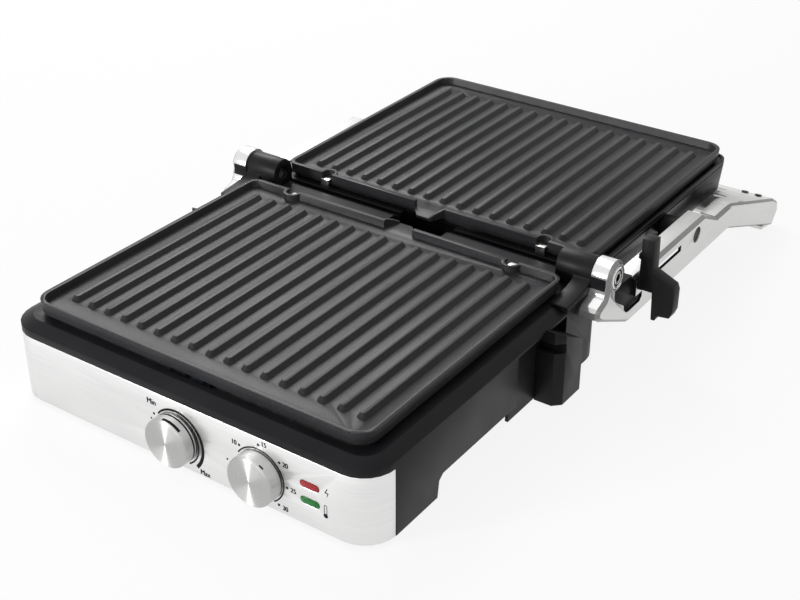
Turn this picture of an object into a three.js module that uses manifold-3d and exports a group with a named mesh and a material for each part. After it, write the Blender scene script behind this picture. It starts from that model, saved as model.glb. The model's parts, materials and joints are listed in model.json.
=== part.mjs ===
// A contact grill that lies open as a flat table grill, with its ribbed plates side by side and its handle on the table.
// Heights are measured from the tops of the lower ribs and depths from the front ends of those ribs, all in millimetres.
// The lid and everything on it lie behind the hinge, and are built in the place that they have in this open position.

import * as THREE from "three";
import { mergeVertices } from "three/addons/utils/BufferGeometryUtils.js";
import Module from "manifold-3d";

const wasm = await Module();
wasm.setup();

// Sizes that many pieces share.
const clearance = 0.3; // the gap between neighbouring pieces
const overrun = 3; // how far a cutting shape runs past the face that it cuts
const cookingHeight = 77; // the rib tops above the table

// The two plates, which are one casting, used twice.
const ribCount = 17;
const ribPitch = 16;
const ribLength = 204;
const ribHeight = 3.8;
const ribFootWidth = 9.2;
const ribTopWidth = 3.9;
const plateSideMargin = 20.5; // from the outermost rib's middle to the plate's side
const plateFrontMargin = 23.5; // from the ribs' front ends to the plate's edge
const plateRearMargin = 20;
const plateFrontRadius = 15;
const plateRearRadius = 9;
const plateDraft = 0.8;
const rimRise = 2; // the rim's top above the rib tops
const rimWidth = 3;
const rimInnerDraft = 1;
const plateWallDepth = 7; // the outer wall's lower edge below the rib tops
const plateFloorThickness = 5.3;
const skirtInset = 2;
const upperDrop = 1.7; // how much lower the open lid's ribs lie than the base's
const plateGap = 43; // between the two plates when the grill lies open
const rimGap = 0.7; // between the two rims when the grill is closed

// The pocket for a plate's hook and the spout, both on the plate's hinge side.
const hookOffset = 105;
const pocketRadius = 5.2;
const pocketWall = 2.4;
const pocketSetback = 3.2; // the pocket's middle in front of the plate's edge
const spoutRight = 14.7; // the spout's right side at the rim, from the plate's middle
const spoutLeft = 12.2; // its left side at the rim, on the other side of the middle
const spoutTipRight = 5.6;
const spoutTipLeft = 6.2;
const spoutReach = 10.4; // how far the spout passes the rim
const spoutFloor = 2.4;
const spoutStart = 14; // the spout's upper end in front of the plate's edge
const spoutWall = 2.2; // the low wall that runs out along the spout's left side

// Hooks, springs, reflectors and heating elements.
const hookWidth = 8;
const hookThickness = 1.2;
const hookGap = 1.9; // from the plate's edge to the hook's leg
const hookTabLength = 5.6;
const hookFootLength = 7.6;
const hookRelief = 0.8; // how deep the base's rear is let in where the lid's hooks swing past it
const footThickness = 0.8;
const springWidth = 40;
const springFootLength = 2;
const springRise = 2.8;
const panFlangeInset = 4.8; // the reflector's flange within the plate's side
const panThickness = 0.8;
const panDepth = 13.5;
const panDraft = 2.5;
const wellMargin = 7; // from the plate's edge to the edge of the well below it
const wellRearMargin = 7.5;
const wellCornerRadius = 8;
const elementRadius = 3.4;
const elementHalfWidth = 105;
const elementInset = 34; // from the rib ends to the element's cross runs
const elementBend = 16;
const elementLegOffset = 30;
const elementDrop = 17;
const elementSteps = 60;

// The base housing.
const baseSideMargin = 15; // the base's side beyond the plate's
const baseFront = 36.9; // the front face ahead of the ribs' front ends
const baseRearReach = 17; // from the hinge axis to the rear face
const baseFrontRadius = 25;
const baseRearRadius = 22;
const deckDepth = 10.5; // the deck below the rib tops
const deckThickness = 3;
const bandDrop = 4.5; // how far the sloping band falls to the side wall
const bandWidth = 9.4;
const bandFace = 5.5; // the upright face of the band above the steel panel
const shellWall = 2.5;
const shellBottomDepth = 74;
const sideBottomDepth = 57.5;
const frontFootLength = 71; // from the front face to the step in the side's lower edge
const stepLength = 7;
const trough = 26; // half the width of the opening that the spouts drain through
const troughFront = 5; // in front of the plate's hinge edge
const troughDepth = 38; // how far the notch at its rear goes down from the rib tops
const nicheLength = 36;
const nicheDepth = 6.5;
const nicheTopDepth = 17;
const cornerBlockWidth = 13; // the block that squares off each rear corner below the barrel
const cornerBlockLength = 40;
const cornerBlockBottomDepth = 59;
const bossRadius = 5;
const bossSideInset = 12.5;
const bossFrontInset = 17;
const bossRearInset = 17;
const coverDepth = 70;
const coverThickness = 2.5;
const coverSideInset = 14.5;
const coverFrontInset = 7;
const coverRearInset = 5;
const ventCount = 9;
const ventPitch = 12;
const ventWidth = 4;
const ventLength = 60;
const footRadius = 9;
const footSideInset = 25.5;
const footFrontInset = 26;
const footRearInset = 22;
const footGrip = 0.4; // the foot's rounded lower edge

// The front panel and its controls.
const panelThickness = 0.9;
const panelWrap = 24; // how far the panel runs back along the side
const controlDepth = 50.3; // the knobs' axes below the rib tops
const temperatureOffset = -1.6;
const timerOffset = 71.6;
const knobRadius = 19;
const knobDepth = 10.5;
const knobGap = 0.9;
const knobEdge = 1.2;
const knobWall = 2.2;
const knobHubRadius = 6.5;
const shaftRadius = 3;
const shaftHoleRadius = 4;
const shaftGrip = 6; // how far the shaft reaches into the knob
const thermostatWidth = 34;
const thermostatHeight = 28;
const thermostatLength = 24;
const timerWidth = 36;
const timerHeight = 32;
const timerLength = 26;
const lensInset = 50.5; // from the lenses' middle to the base's right side
const redLensDepth = 41.3;
const greenLensDepth = 54.3;
const lensLength = 15;
const lensHeight = 5;
const lensProud = 0.4;
const lensBody = 6;
const boardLength = 26;
const boardHeight = 26;
const boardThickness = 1.6;

// The hinge: a barrel and a pin on each side of the base, and the cap of an arm outside each barrel.
const barrelRadius = 11.8;
const barrelProud = 2; // the barrel's outer end beyond the base's side
const barrelLength = 30.5;
const pinRadius = 5;
const pinInset = 3;
const rampRise = 2.5;
const rampLength = 34;
const capRadius = 13.2;
const capFaceRadius = 10.3; // the cap's flat outer face, inside its bevel
const capLength = 16; // from the barrel's end to the arm's outer face
const screwHeadRadius = 8.9;
const screwHeadDepth = 3;
const screwHeadProud = 0.5;
const screwSocketRadius = 3.4;
const screwSocketDepth = 2;

// The lock's keeper at the base's right rear corner, and the plain leg that faces it.
const keeperInset = 3.5; // the keeper's outer face within the arm's
const keeperFront = 171;
const keeperLength = 32;
const keeperFrontTop = 12;
const keeperRearTop = 30.5;
const keeperBottomGap = 2.4;
const keeperBevel = 6; // down the keeper's outer front edge
const notchTopDepth = 22;
const notchHeight = 8;
const notchLength = 6.5;

// The drip tray and the cord's gland at the rear.
const trayHalfWidth = 54;
const trayHeight = 16;
const trayLength = 84;
const trayWall = 1.6;
const trayFaceThickness = 3.5;
const trayFaceMargin = 5;
const glandOffset = 95;
const glandDepth = 55;
const glandRadius = 8;
const glandFlangeRadius = 11;
const glandFlange = 2.3;
const glandBore = 3.6;
const glandBody = 14;

// The arms and the handle.
const webThickness = 2.5;
const flangeThickness = 2;
const flangeWidth = 15.8;
const flangeStart = 31; // where the top flange begins behind the black block
const armBevel = 2.9; // round the arm's outer face
const endBevel = 2; // round the outer face of its last stretch
const armTopDepth = 12.9;
const armBottomDepth = 50;
const armRearBottomDepth = 48.9;
const firstFlangeEnd = 158.5; // distances along an arm are measured back from the hinge axis
const secondFlangeLength = 30.5;
const secondFlangeDepth = 26.2;
const bendReach = 216.5;
const endNose = 10; // how far the arm's end runs out beyond the handle's top edge
const endUndercut = 7;
const endMiddleDepth = 63;
const endTopDepth = 49.5;
const flareAngle = (7.6 * Math.PI) / 180;
const gussetWidth = 28;
const gussetStartShare = 0.505; // of the way down the slope to the handle's tongue
const gussetThickness = 2.4;
const barGap = 2.5; // between the lid's far edge and the handle bar
const barTop = 18; // the length of the bar's sloping top
const barWall = 3;
const barTongue = 14;
const handleScrewInset = 3.2;
const handleScrewSpacing = 12.6;
const handleScrewSetback = 6.2;
const handleScrewRadius = 1.7;
const handleScrewHead = 3.2;
const handleScrewHeadHeight = 0.8;
const windowCoverThickness = 7.5;
const windowCoverMargin = 1.6;
const blockTopShare = 0.4; // of the cap's radius, below the hinge axis, where the block begins beside the cap

// The slider on the right arm.
const slotStart = 37;
const slotEnd = 113.5;
const slotDepth = 23.7;
const slotHeight = 5.6;
const sliderStart = 35; // the slider's front face behind the hinge axis
const sliderLength = 11;
const stemLength = 9.5;
const stemGap = 0.6; // from the slot's end to the stem
const keepLength = 14;
const keepHeight = 10;
const keepThickness = 4;

// The lid.
const lidSideMargin = 3;
const lidMargin = 3.5; // the lid's frame beyond the plate's edge
const lidRadius = 12;
const lidFrameThickness = 2.2;
const lidLipHeight = 2.5; // the frame's edge, which rises round three sides of the plate
const lidLipWidth = 2.2;
const lidCoverDepth = 31.6;
const lidShoulderDepth = 25;
const lidCoverDraft = 2.5;
const lidCrownDraft = 11;
const lidWall = 2;
const lidNotchDepth = 7;
const pivotReach = 144; // the lid's pivot behind the hinge axis
const pivotDepth = 24.8;
const pivotRadius = 6.6;
const pivotHeadRadius = 7.7;
const pivotHeadThickness = 2.5;
const pivotRecess = 1.4; // the pivot's end below the arm's outer face

// Places that follow from those sizes.
const tableLevel = -cookingHeight;
const plateHalfWidth = ((ribCount - 1) * ribPitch) / 2 + plateSideMargin;
const panFlangeHalfWidth = plateHalfWidth - panFlangeInset;
const lidHalfWidth = plateHalfWidth + lidSideMargin;
const baseHalfWidth = plateHalfWidth + baseSideMargin;
const cornerBlockInner = baseHalfWidth - cornerBlockWidth;
const bossOffset = baseHalfWidth - bossSideInset;
const coverHalfWidth = baseHalfWidth - coverSideInset;
const footOffset = baseHalfWidth - footSideInset;
const lensOffset = baseHalfWidth - lensInset;
const keeperInner = baseHalfWidth - nicheDepth + clearance;
const barrelOuter = baseHalfWidth + barrelProud;
const barrelInner = barrelOuter - barrelLength;
const armOuter = barrelOuter + capLength;
const keeperOuter = armOuter - keeperInset;
const flangeInner = armOuter - flangeWidth;
const gussetInner = armOuter - gussetWidth;
const handleScrewOffset = armOuter - handleScrewInset;
const plateRear = ribLength + plateRearMargin;
const hingeY = plateRear + plateGap / 2;
const hingeZ = (rimGap + 2 * rimRise - upperDrop) / 2;
const floorLevel = -ribHeight;
const skirtLevel = floorLevel - plateFloorThickness;
const deckLevel = -deckDepth;
const baseRear = hingeY + baseRearReach;
const panelTop = -deckDepth - bandDrop - bandFace;
const coverTop = -coverDepth + coverThickness;
const lidDeckLevel = deckLevel - upperDrop;
const leg = hingeY - barrelRadius;
const secondFlangeStart = bendReach - secondFlangeLength;
const barStart = hingeY + plateFrontMargin + lidMargin + barGap;
const gussetStart = bendReach + gussetStartShare * (barStart - barTongue / 2 - bendReach);
const endTopReach = barStart + barTop;
const endReach = endTopReach + endNose;
const endBottomReach = endReach - endUndercut;
const collarRadius = pivotDepth - armTopDepth - clearance;
const slopeAngle = Math.atan2(endTopDepth - secondFlangeDepth, endTopReach - bendReach);
const keepStart = slotStart + stemGap + stemLength / 2 - keepLength / 2;

function closed(geometry) {
  const bare = geometry.index ? geometry.toNonIndexed() : geometry.clone();
  for (const name of Object.keys(bare.attributes)) {
    if (name !== "position") bare.deleteAttribute(name);
  }
  return mergeVertices(bare);
}

function solid(geometry) {
  const merged = closed(geometry);
  const vertProperties = new Float32Array(merged.attributes.position.array);
  const triVerts = new Uint32Array(merged.index.array);
  return new wasm.Manifold(new wasm.Mesh({ numProp: 3, vertProperties, triVerts }));
}

function geometryOf(manifold) {
  const mesh = manifold.getMesh();
  const geometry = new THREE.BufferGeometry();
  geometry.setAttribute("position", new THREE.BufferAttribute(new Float32Array(mesh.vertProperties), 3));
  geometry.setIndex(new THREE.BufferAttribute(new Uint32Array(mesh.triVerts), 1));
  return geometry;
}

// A mirror image across the middle plane, with its faces turned so that they still point out.
function mirrored(manifold) {
  const geometry = geometryOf(manifold);
  const place = geometry.attributes.position;
  for (let i = 0; i < place.count; i += 1) place.setX(i, -place.getX(i));
  const order = geometry.index;
  for (let i = 0; i < order.count; i += 3) {
    const first = order.getX(i);
    order.setX(i, order.getX(i + 1));
    order.setX(i + 1, first);
  }
  return solid(geometry);
}

function box(x, y, z) {
  const geometry = new THREE.BoxGeometry(x[1] - x[0], y[1] - y[0], z[1] - z[0]);
  geometry.translate((x[0] + x[1]) / 2, (y[0] + y[1]) / 2, (z[0] + z[1]) / 2);
  return solid(geometry);
}

function cylinderZ(radius, x, y, z, sides = 24) {
  const geometry = new THREE.CylinderGeometry(radius, radius, z[1] - z[0], sides);
  geometry.rotateX(Math.PI / 2);
  geometry.translate(x, y, (z[0] + z[1]) / 2);
  return solid(geometry);
}

function cylinderX(radius, x, y, z, sides = 24) {
  const geometry = new THREE.CylinderGeometry(radius, radius, x[1] - x[0], sides);
  geometry.rotateZ(Math.PI / 2);
  geometry.translate((x[0] + x[1]) / 2, y, z);
  return solid(geometry);
}

function cylinderY(radius, x, y, z, sides = 24) {
  const geometry = new THREE.CylinderGeometry(radius, radius, y[1] - y[0], sides);
  geometry.translate(x, (y[0] + y[1]) / 2, z);
  return solid(geometry);
}

function shapeOf(points) {
  return new THREE.Shape(points.map(([a, b]) => new THREE.Vector2(a, b)));
}

// An outline in depth and height, drawn out across the grill from x[0] to x[1].
function acrossX(points, x) {
  const geometry = new THREE.ExtrudeGeometry(shapeOf(points), { depth: x[1] - x[0], bevelEnabled: false });
  const turn = new THREE.Matrix4();
  turn.makeBasis(new THREE.Vector3(0, 1, 0), new THREE.Vector3(0, 0, 1), new THREE.Vector3(1, 0, 0));
  geometry.applyMatrix4(turn);
  geometry.translate(x[0], 0, 0);
  return solid(geometry);
}

// An outline in width and height, drawn out from y[0] back to y[1].
function alongY(points, y) {
  const geometry = new THREE.ExtrudeGeometry(shapeOf(points), { depth: y[1] - y[0], bevelEnabled: false });
  const turn = new THREE.Matrix4();
  turn.makeBasis(new THREE.Vector3(1, 0, 0), new THREE.Vector3(0, 0, 1), new THREE.Vector3(0, -1, 0));
  geometry.applyMatrix4(turn);
  geometry.translate(0, y[1], 0);
  return solid(geometry);
}

function arc(x, y, radius, from, sides) {
  const points = [];
  for (let i = 0; i <= sides; i += 1) {
    const angle = from + ((Math.PI / 2) * i) / sides;
    points.push([x + radius * Math.cos(angle), y + radius * Math.sin(angle)]);
  }
  return points;
}

// A rectangle with round corners, seen from above, drawn in from its edges by an inset.
function roundedOutline(half, front, rear, frontRadius, rearRadius, inset = 0) {
  const x = half - inset;
  const [low, high] = [front + inset, rear - inset];
  const near = Math.max(frontRadius - inset, clearance);
  const far = Math.max(rearRadius - inset, clearance);
  return [
    ...arc(x - far, high - far, far, 0, 6),
    ...arc(-x + far, high - far, far, Math.PI / 2, 6),
    ...arc(-x + near, low + near, near, Math.PI, 6),
    ...arc(x - near, low + near, near, Math.PI * 1.5, 6),
  ];
}

// A solid through outlines of equal length at rising heights.
function loft(levels) {
  const count = levels[0].points.length;
  const positions = [];
  for (const { z, points } of levels) points.forEach(([x, y]) => positions.push(x, y, z));
  const faces = [];
  for (let level = 0; level + 1 < levels.length; level += 1) {
    for (let i = 0; i < count; i += 1) {
      const here = level * count + i;
      const next = level * count + ((i + 1) % count);
      faces.push(here, next, next + count, here, next + count, here + count);
    }
  }
  const outline = levels[0].points.map(([x, y]) => new THREE.Vector2(x, y));
  const top = (levels.length - 1) * count;
  for (const [a, b, c] of THREE.ShapeUtils.triangulateShape(outline, [])) {
    faces.push(a, c, b, top + a, top + b, top + c);
  }
  const geometry = new THREE.BufferGeometry();
  geometry.setAttribute("position", new THREE.Float32BufferAttribute(positions, 3));
  geometry.setIndex(faces);
  return solid(geometry);
}

function lathe(points, sides) {
  return solid(new THREE.LatheGeometry(points.map(([r, h]) => new THREE.Vector2(r, h)), sides));
}

const grill = new THREE.Group();

// Turns a piece end for end about the hinge, as the lid's copy of a piece in the base lies when the grill is open.
const lidPlace = new THREE.Matrix4().makeRotationZ(Math.PI).setPosition(0, 2 * hingeY, -upperDrop);

function add(name, colour, roughness, metalness, manifold, place) {
  const material = new THREE.MeshStandardMaterial({ color: colour, roughness, metalness, flatShading: true });
  const mesh = new THREE.Mesh(geometryOf(manifold), material);
  mesh.name = name;
  if (place) mesh.applyMatrix4(place);
  grill.add(mesh);
}

const blackPlastic = (name, manifold, place) => add(name, 0x2c2c2d, 0.55, 0, manifold, place);
const coatedCasting = (name, manifold, place) => add(name, 0x5c5c5d, 0.6, 0.2, manifold, place);
const steel = (name, manifold, place) => add(name, 0xc9c9c7, 0.35, 0.9, manifold, place);
const satinAluminium = (name, manifold, place) => add(name, 0xcfcfcd, 0.4, 0.8, manifold, place);
const rubber = (name, manifold, place) => add(name, 0x1c1c1c, 0.9, 0, manifold, place);

// One rib, whose flanks and round ends slope out alike from its flat top to its foot.
function rib(x) {
  const front = ribTopWidth / 2;
  const rear = ribLength - ribTopWidth / 2;
  const outline = (radius) => [
    ...arc(x, rear, radius, 0, 4),
    ...arc(x, rear, radius, Math.PI / 2, 4).slice(1),
    ...arc(x, front, radius, Math.PI, 4),
    ...arc(x, front, radius, Math.PI * 1.5, 4).slice(1),
  ];
  return loft([
    { z: floorLevel - clearance, points: outline(ribFootWidth / 2) },
    { z: 0, points: outline(ribTopWidth / 2) },
  ]);
}

function plateOutline(inset) {
  return roundedOutline(plateHalfWidth, -plateFrontMargin, plateRear, plateFrontRadius, plateRearRadius, inset);
}

// The tongue of the spout, which narrows to its tip, and the low wall along its left side.
function spoutTongue() {
  const start = plateRear - spoutStart;
  const tip = plateRear + spoutReach;
  const outline = [
    [-spoutLeft - rimWidth, start],
    [spoutRight + rimWidth, start],
    [spoutRight + rimWidth, plateRear - rimWidth],
    [spoutTipRight, tip],
    [-spoutTipLeft - spoutWall, tip],
    [-spoutLeft - rimWidth, plateRear - rimWidth],
  ];
  const tongue = loft([
    { z: floorLevel - spoutFloor, points: outline },
    { z: floorLevel, points: outline },
  ]);
  const run = Math.hypot(spoutReach, spoutLeft - spoutTipLeft);
  const side = [
    [-rimWidth, floorLevel - spoutFloor / 2],
    [run, floorLevel - spoutFloor / 2],
    [run, floorLevel + rimRise / 2],
    [run / 2, floorLevel + rimRise * 2],
    [0, rimRise],
    [-rimWidth, rimRise],
  ];
  const wall = geometryOf(acrossX(side, [-spoutWall, 0]));
  wall.rotateZ(-Math.atan2(spoutLeft - spoutTipLeft, spoutReach));
  wall.translate(-spoutLeft, plateRear, 0);
  return tongue.add(solid(wall));
}

// The opening through the rim above the tongue.
function spoutCut() {
  const y = [plateRear - rimWidth - rimInnerDraft - overrun, plateRear + overrun];
  return box([-spoutLeft, spoutRight], y, [floorLevel, rimRise + overrun]);
}

function plate() {
  const wall = loft([
    { z: -plateWallDepth, points: plateOutline(plateDraft) },
    { z: rimRise, points: plateOutline(0) },
  ]);
  const skirt = loft([
    { z: skirtLevel, points: plateOutline(skirtInset + plateDraft) },
    { z: floorLevel, points: plateOutline(skirtInset + plateDraft) },
  ]);
  const pocket = loft([
    { z: floorLevel, points: plateOutline(rimWidth + rimInnerDraft) },
    { z: rimRise + overrun, points: plateOutline(rimWidth) },
  ]);
  let body = wall.subtract(pocket).add(skirt);
  for (let i = 0; i < ribCount; i += 1) {
    body = body.add(rib((i - (ribCount - 1) / 2) * ribPitch));
  }
  const middle = plateRear - pocketSetback;
  for (const x of [-hookOffset, hookOffset]) {
    const boss = cylinderZ(pocketRadius + pocketWall, x, middle, [floorLevel, rimRise]).intersect(wall);
    const hole = cylinderZ(pocketRadius, x, middle, [floorLevel, rimRise + overrun]);
    const way = [x - pocketRadius, x + pocketRadius];
    body = body.add(boss).subtract(hole);
    body = body.subtract(box(way, [middle, plateRear + overrun], [floorLevel, rimRise + overrun]));
  }
  return body.subtract(spoutCut()).add(spoutTongue());
}

// The strip that holds a plate's hinge edge down: a foot on the deck, a leg, and a tab over the pocket's floor.
function hook(x) {
  const front = plateRear + hookGap;
  const rear = front + hookThickness;
  const low = deckLevel + clearance;
  const tabLow = floorLevel + clearance;
  const section = [
    [rear - hookFootLength, low],
    [rear, low],
    [rear, tabLow + hookThickness],
    [rear - hookTabLength, tabLow + hookThickness],
    [rear - hookTabLength, tabLow],
    [front, tabLow],
    [front, low + footThickness],
    [rear - hookFootLength, low + footThickness],
  ];
  return acrossX(section, [x - hookWidth / 2, x + hookWidth / 2]);
}

// The leaf spring that the plate's front skirt snaps behind.
function plateSpring() {
  const rear = -plateFrontMargin + skirtInset + plateDraft - clearance;
  const low = deckLevel + clearance;
  const section = [
    [rear - springFootLength, low],
    [rear, low],
    [rear, low + springRise],
    [rear - footThickness, low + springRise],
    [rear - footThickness, low + footThickness],
    [rear - springFootLength, low + footThickness],
  ];
  return acrossX(section, [-springWidth / 2, springWidth / 2]);
}

function wellOutline(inset) {
  const half = plateHalfWidth - wellMargin;
  const front = -plateFrontMargin + wellMargin;
  return roundedOutline(half, front, plateRear - wellRearMargin, wellCornerRadius, wellCornerRadius, inset);
}

// The pressed pan that throws the element's heat up at the plate.
function reflector() {
  const top = deckLevel + clearance;
  const low = deckLevel - panDepth;
  const flangeInset = plateHalfWidth - wellMargin - panFlangeHalfWidth;
  const flange = loft([
    { z: top, points: wellOutline(flangeInset) },
    { z: top + panThickness, points: wellOutline(flangeInset) },
  ]);
  const bowl = loft([
    { z: low, points: wellOutline(clearance + panDraft) },
    { z: top + panThickness, points: wellOutline(clearance) },
  ]);
  const hollow = loft([
    { z: low + panThickness, points: wellOutline(clearance + panThickness + panDraft) },
    { z: top + panThickness + overrun, points: wellOutline(clearance + panThickness) },
  ]);
  let pan = flange.add(bowl).subtract(hollow);
  for (const x of [-elementLegOffset, elementLegOffset]) {
    pan = pan.subtract(cylinderZ(elementRadius + clearance, x, ribLength / 2, [low - overrun, top], 12));
  }
  return pan;
}

// The tubular element: one loop with round bends, whose two ends turn down through the pan.
function element() {
  const level = skirtLevel - clearance - elementRadius;
  const [front, rear] = [elementInset, ribLength - elementInset];
  const corners = [
    [-elementLegOffset, ribLength / 2, level - elementDrop],
    [-elementLegOffset, ribLength / 2, level],
    [-elementLegOffset, front, level],
    [-elementHalfWidth, front, level],
    [-elementHalfWidth, rear, level],
    [elementHalfWidth, rear, level],
    [elementHalfWidth, front, level],
    [elementLegOffset, front, level],
    [elementLegOffset, ribLength / 2, level],
    [elementLegOffset, ribLength / 2, level - elementDrop],
  ].map((place) => new THREE.Vector3(...place));
  const path = new THREE.CurvePath();
  let start = corners[0];
  for (let i = 1; i + 1 < corners.length; i += 1) {
    const toward = corners[i - 1].clone().sub(corners[i]);
    const away = corners[i + 1].clone().sub(corners[i]);
    const bend = Math.min(elementBend, toward.length() / 2, away.length() / 2);
    const enter = corners[i].clone().add(toward.setLength(bend));
    const leave = corners[i].clone().add(away.setLength(bend));
    path.add(new THREE.LineCurve3(start, enter));
    path.add(new THREE.QuadraticBezierCurve3(enter, corners[i], leave));
    start = leave;
  }
  path.add(new THREE.LineCurve3(start, corners[corners.length - 1]));
  const spread = path.getSpacedPoints(elementSteps);
  const section = shapeOf([...Array(8).keys()].map((i) => {
    const angle = (i * Math.PI) / 4;
    return [elementRadius * Math.cos(angle), elementRadius * Math.sin(angle)];
  }));
  const route = new THREE.CatmullRomCurve3(spread);
  return solid(new THREE.ExtrudeGeometry(section, { steps: elementSteps, bevelEnabled: false, extrudePath: route }));
}

function baseOutline(inset) {
  return roundedOutline(baseHalfWidth, -baseFront, baseRear, baseFrontRadius, baseRearRadius, inset);
}

// The housing's outer form: upright walls with a sloping band round the top.
function baseBlock(inset, bottom, top = deckLevel) {
  return loft([
    { z: bottom, points: baseOutline(inset) },
    { z: top - bandDrop, points: baseOutline(inset) },
    { z: top, points: baseOutline(inset + bandWidth) },
  ]);
}

// The space round the front that the steel panel fills.
function panelZone(top) {
  const x = baseHalfWidth + overrun;
  const y = [-baseFront - overrun, -baseFront + panelWrap];
  return box([-x, x], y, [-shellBottomDepth - overrun, top]);
}

function mirrorPair(make) {
  const right = make();
  return right.add(mirrored(right));
}

function sideCut() {
  const start = -baseFront + frontFootLength;
  const low = -shellBottomDepth - overrun;
  const points = [
    [start, low],
    [start + stepLength / 3, -sideBottomDepth - stepLength / 2],
    [start + stepLength, -sideBottomDepth],
    [keeperFront - nicheLength, -sideBottomDepth],
    [keeperFront - nicheLength, low],
  ];
  return acrossX(points, [coverHalfWidth + clearance, baseHalfWidth + overrun]);
}

function niche(grow) {
  const x = [baseHalfWidth - nicheDepth - grow, baseHalfWidth + overrun];
  const y = [keeperFront - nicheLength - grow, keeperFront + keeperLength + clearance + grow];
  return box(x, y, [-shellBottomDepth - 2 * overrun, -nicheTopDepth + grow]);
}

function baseShell() {
  const cornerStart = keeperFront + keeperLength + clearance;
  const outer = baseBlock(0, -shellBottomDepth).subtract(mirrorPair(() => niche(0)));
  const blocks = mirrorPair(() =>
    box([cornerBlockInner, baseHalfWidth], [cornerStart, cornerStart + cornerBlockLength],
      [-cornerBlockBottomDepth, deckLevel]),
  );
  const cavity = baseBlock(shellWall, -shellBottomDepth - overrun, deckLevel - deckThickness);
  const recess = panelZone(panelTop).subtract(baseBlock(panelThickness + clearance, -shellBottomDepth - 2 * overrun));
  let shell = outer.add(blocks).subtract(cavity.subtract(mirrorPair(() => niche(shellWall))));
  shell = shell.subtract(recess).subtract(mirrorPair(sideCut));
  for (const y of [-baseFront + bossFrontInset, baseRear - bossRearInset]) {
    shell = shell.add(mirrorPair(() =>
      cylinderZ(bossRadius, bossOffset - bossRadius, y, [coverTop + clearance, deckLevel - deckThickness / 2], 16)));
  }
  const deep = [-deckDepth - 2 * deckThickness, deckLevel + overrun];
  shell = shell.subtract(loft([
    { z: deep[0], points: wellOutline(0) },
    { z: deep[1], points: wellOutline(0) },
  ]));
  const drain = [-troughDepth, deckLevel + overrun];
  shell = shell.subtract(box([-trough, trough], [plateRear - troughFront, baseRear + overrun], drain));
  const hookHalf = hookWidth / 2 + hookThickness;
  shell = shell.subtract(mirrorPair(() =>
    box([hookOffset - hookHalf, hookOffset + hookHalf], [baseRear - hookRelief, baseRear + overrun],
      [-2 * pivotDepth, deckLevel + overrun])));
  const face = [-baseFront - overrun, -baseFront + shellWall + overrun];
  for (const x of [temperatureOffset, timerOffset]) {
    shell = shell.subtract(cylinderY(shaftHoleRadius, x, face, -controlDepth, 16));
  }
  for (const depth of [redLensDepth, greenLensDepth]) {
    shell = shell.subtract(lens(-depth, clearance, face));
  }
  const rearFace = [baseRear - shellWall - overrun, baseRear + overrun];
  const trayWay = [coverTop - overrun, coverTop + trayHeight + 2 * clearance];
  const trayHalf = trayHalfWidth + clearance;
  shell = shell.subtract(box([-trayHalf, trayHalf], rearFace, trayWay));
  return shell.subtract(cylinderY(glandRadius + clearance, -glandOffset, rearFace, -glandDepth, 20));
}

function lensOutline(z, grow) {
  const half = lensHeight / 2 + grow;
  const run = (lensLength - lensHeight) / 2;
  return [
    ...arc(lensOffset + run, z, half, -Math.PI / 2, 4),
    ...arc(lensOffset + run, z, half, 0, 4).slice(1),
    ...arc(lensOffset - run, z, half, Math.PI / 2, 4),
    ...arc(lensOffset - run, z, half, Math.PI, 4).slice(1),
  ];
}

function lens(z, grow, y) {
  return alongY(lensOutline(z, grow), y);
}

// The brushed sheet round the front, holed for the two shafts and the two lenses.
function frontPanel() {
  const bottom = -shellBottomDepth - overrun;
  const sheet = baseBlock(0, -shellBottomDepth).subtract(baseBlock(panelThickness, bottom));
  const top = panelTop - clearance;
  let panel = sheet.intersect(panelZone(top).intersect(box(
    [-baseHalfWidth, baseHalfWidth], [-baseFront, -baseFront + panelWrap - clearance], [-shellBottomDepth, top])));
  const face = [-baseFront - overrun, -baseFront + panelThickness + overrun];
  for (const x of [temperatureOffset, timerOffset]) {
    panel = panel.subtract(cylinderY(shaftHoleRadius, x, face, -controlDepth, 16));
  }
  for (const depth of [redLensDepth, greenLensDepth]) {
    panel = panel.subtract(lens(-depth, clearance, face));
  }
  return panel;
}

function bottomCover() {
  const front = -baseFront + coverFrontInset;
  const outline = roundedOutline(coverHalfWidth, front, baseRear - coverRearInset, baseRearRadius, baseRearRadius);
  let cover = loft([
    { z: -coverDepth, points: outline },
    { z: coverTop, points: outline },
  ]);
  for (let i = 0; i < ventCount; i += 1) {
    const x = (i - (ventCount - 1) / 2) * ventPitch;
    const y = [ribLength / 2 - ventLength, ribLength / 2];
    cover = cover.subtract(box([x - ventWidth / 2, x + ventWidth / 2], y, [-coverDepth - overrun, coverTop + overrun]));
  }
  return cover;
}

function foot(x, y) {
  const top = -coverDepth - clearance;
  const height = top - tableLevel;
  const profile = [[0, 0], [footRadius - footGrip, 0], [footRadius, footGrip], [footRadius, height], [0, height]];
  return { shape: lathe(profile, 20), place: [x, y, tableLevel] };
}

function placed(manifold, [x, y, z], turnX = 0) {
  const geometry = geometryOf(manifold);
  geometry.rotateX(turnX);
  geometry.translate(x, y, z);
  return solid(geometry);
}

// A cup-shaped knob with a hub, its open side towards the panel.
function knob() {
  const back = 0;
  const front = knobDepth;
  const inner = front - knobWall;
  return lathe([
    [0, back + shaftGrip + clearance],
    [shaftRadius + clearance, back + shaftGrip + clearance],
    [shaftRadius + clearance, back],
    [knobHubRadius, back],
    [knobHubRadius, inner],
    [knobRadius - knobWall, inner],
    [knobRadius - knobWall, back],
    [knobRadius, back],
    [knobRadius - knobEdge / 2, front - knobEdge],
    [knobRadius - knobEdge, front],
    [0, front],
  ], 32);
}

function controlShaft(x, bodyFront) {
  const y = [-baseFront - knobGap - shaftGrip, bodyFront - clearance];
  return cylinderY(shaftRadius, x, y, -controlDepth, 16);
}

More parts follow.
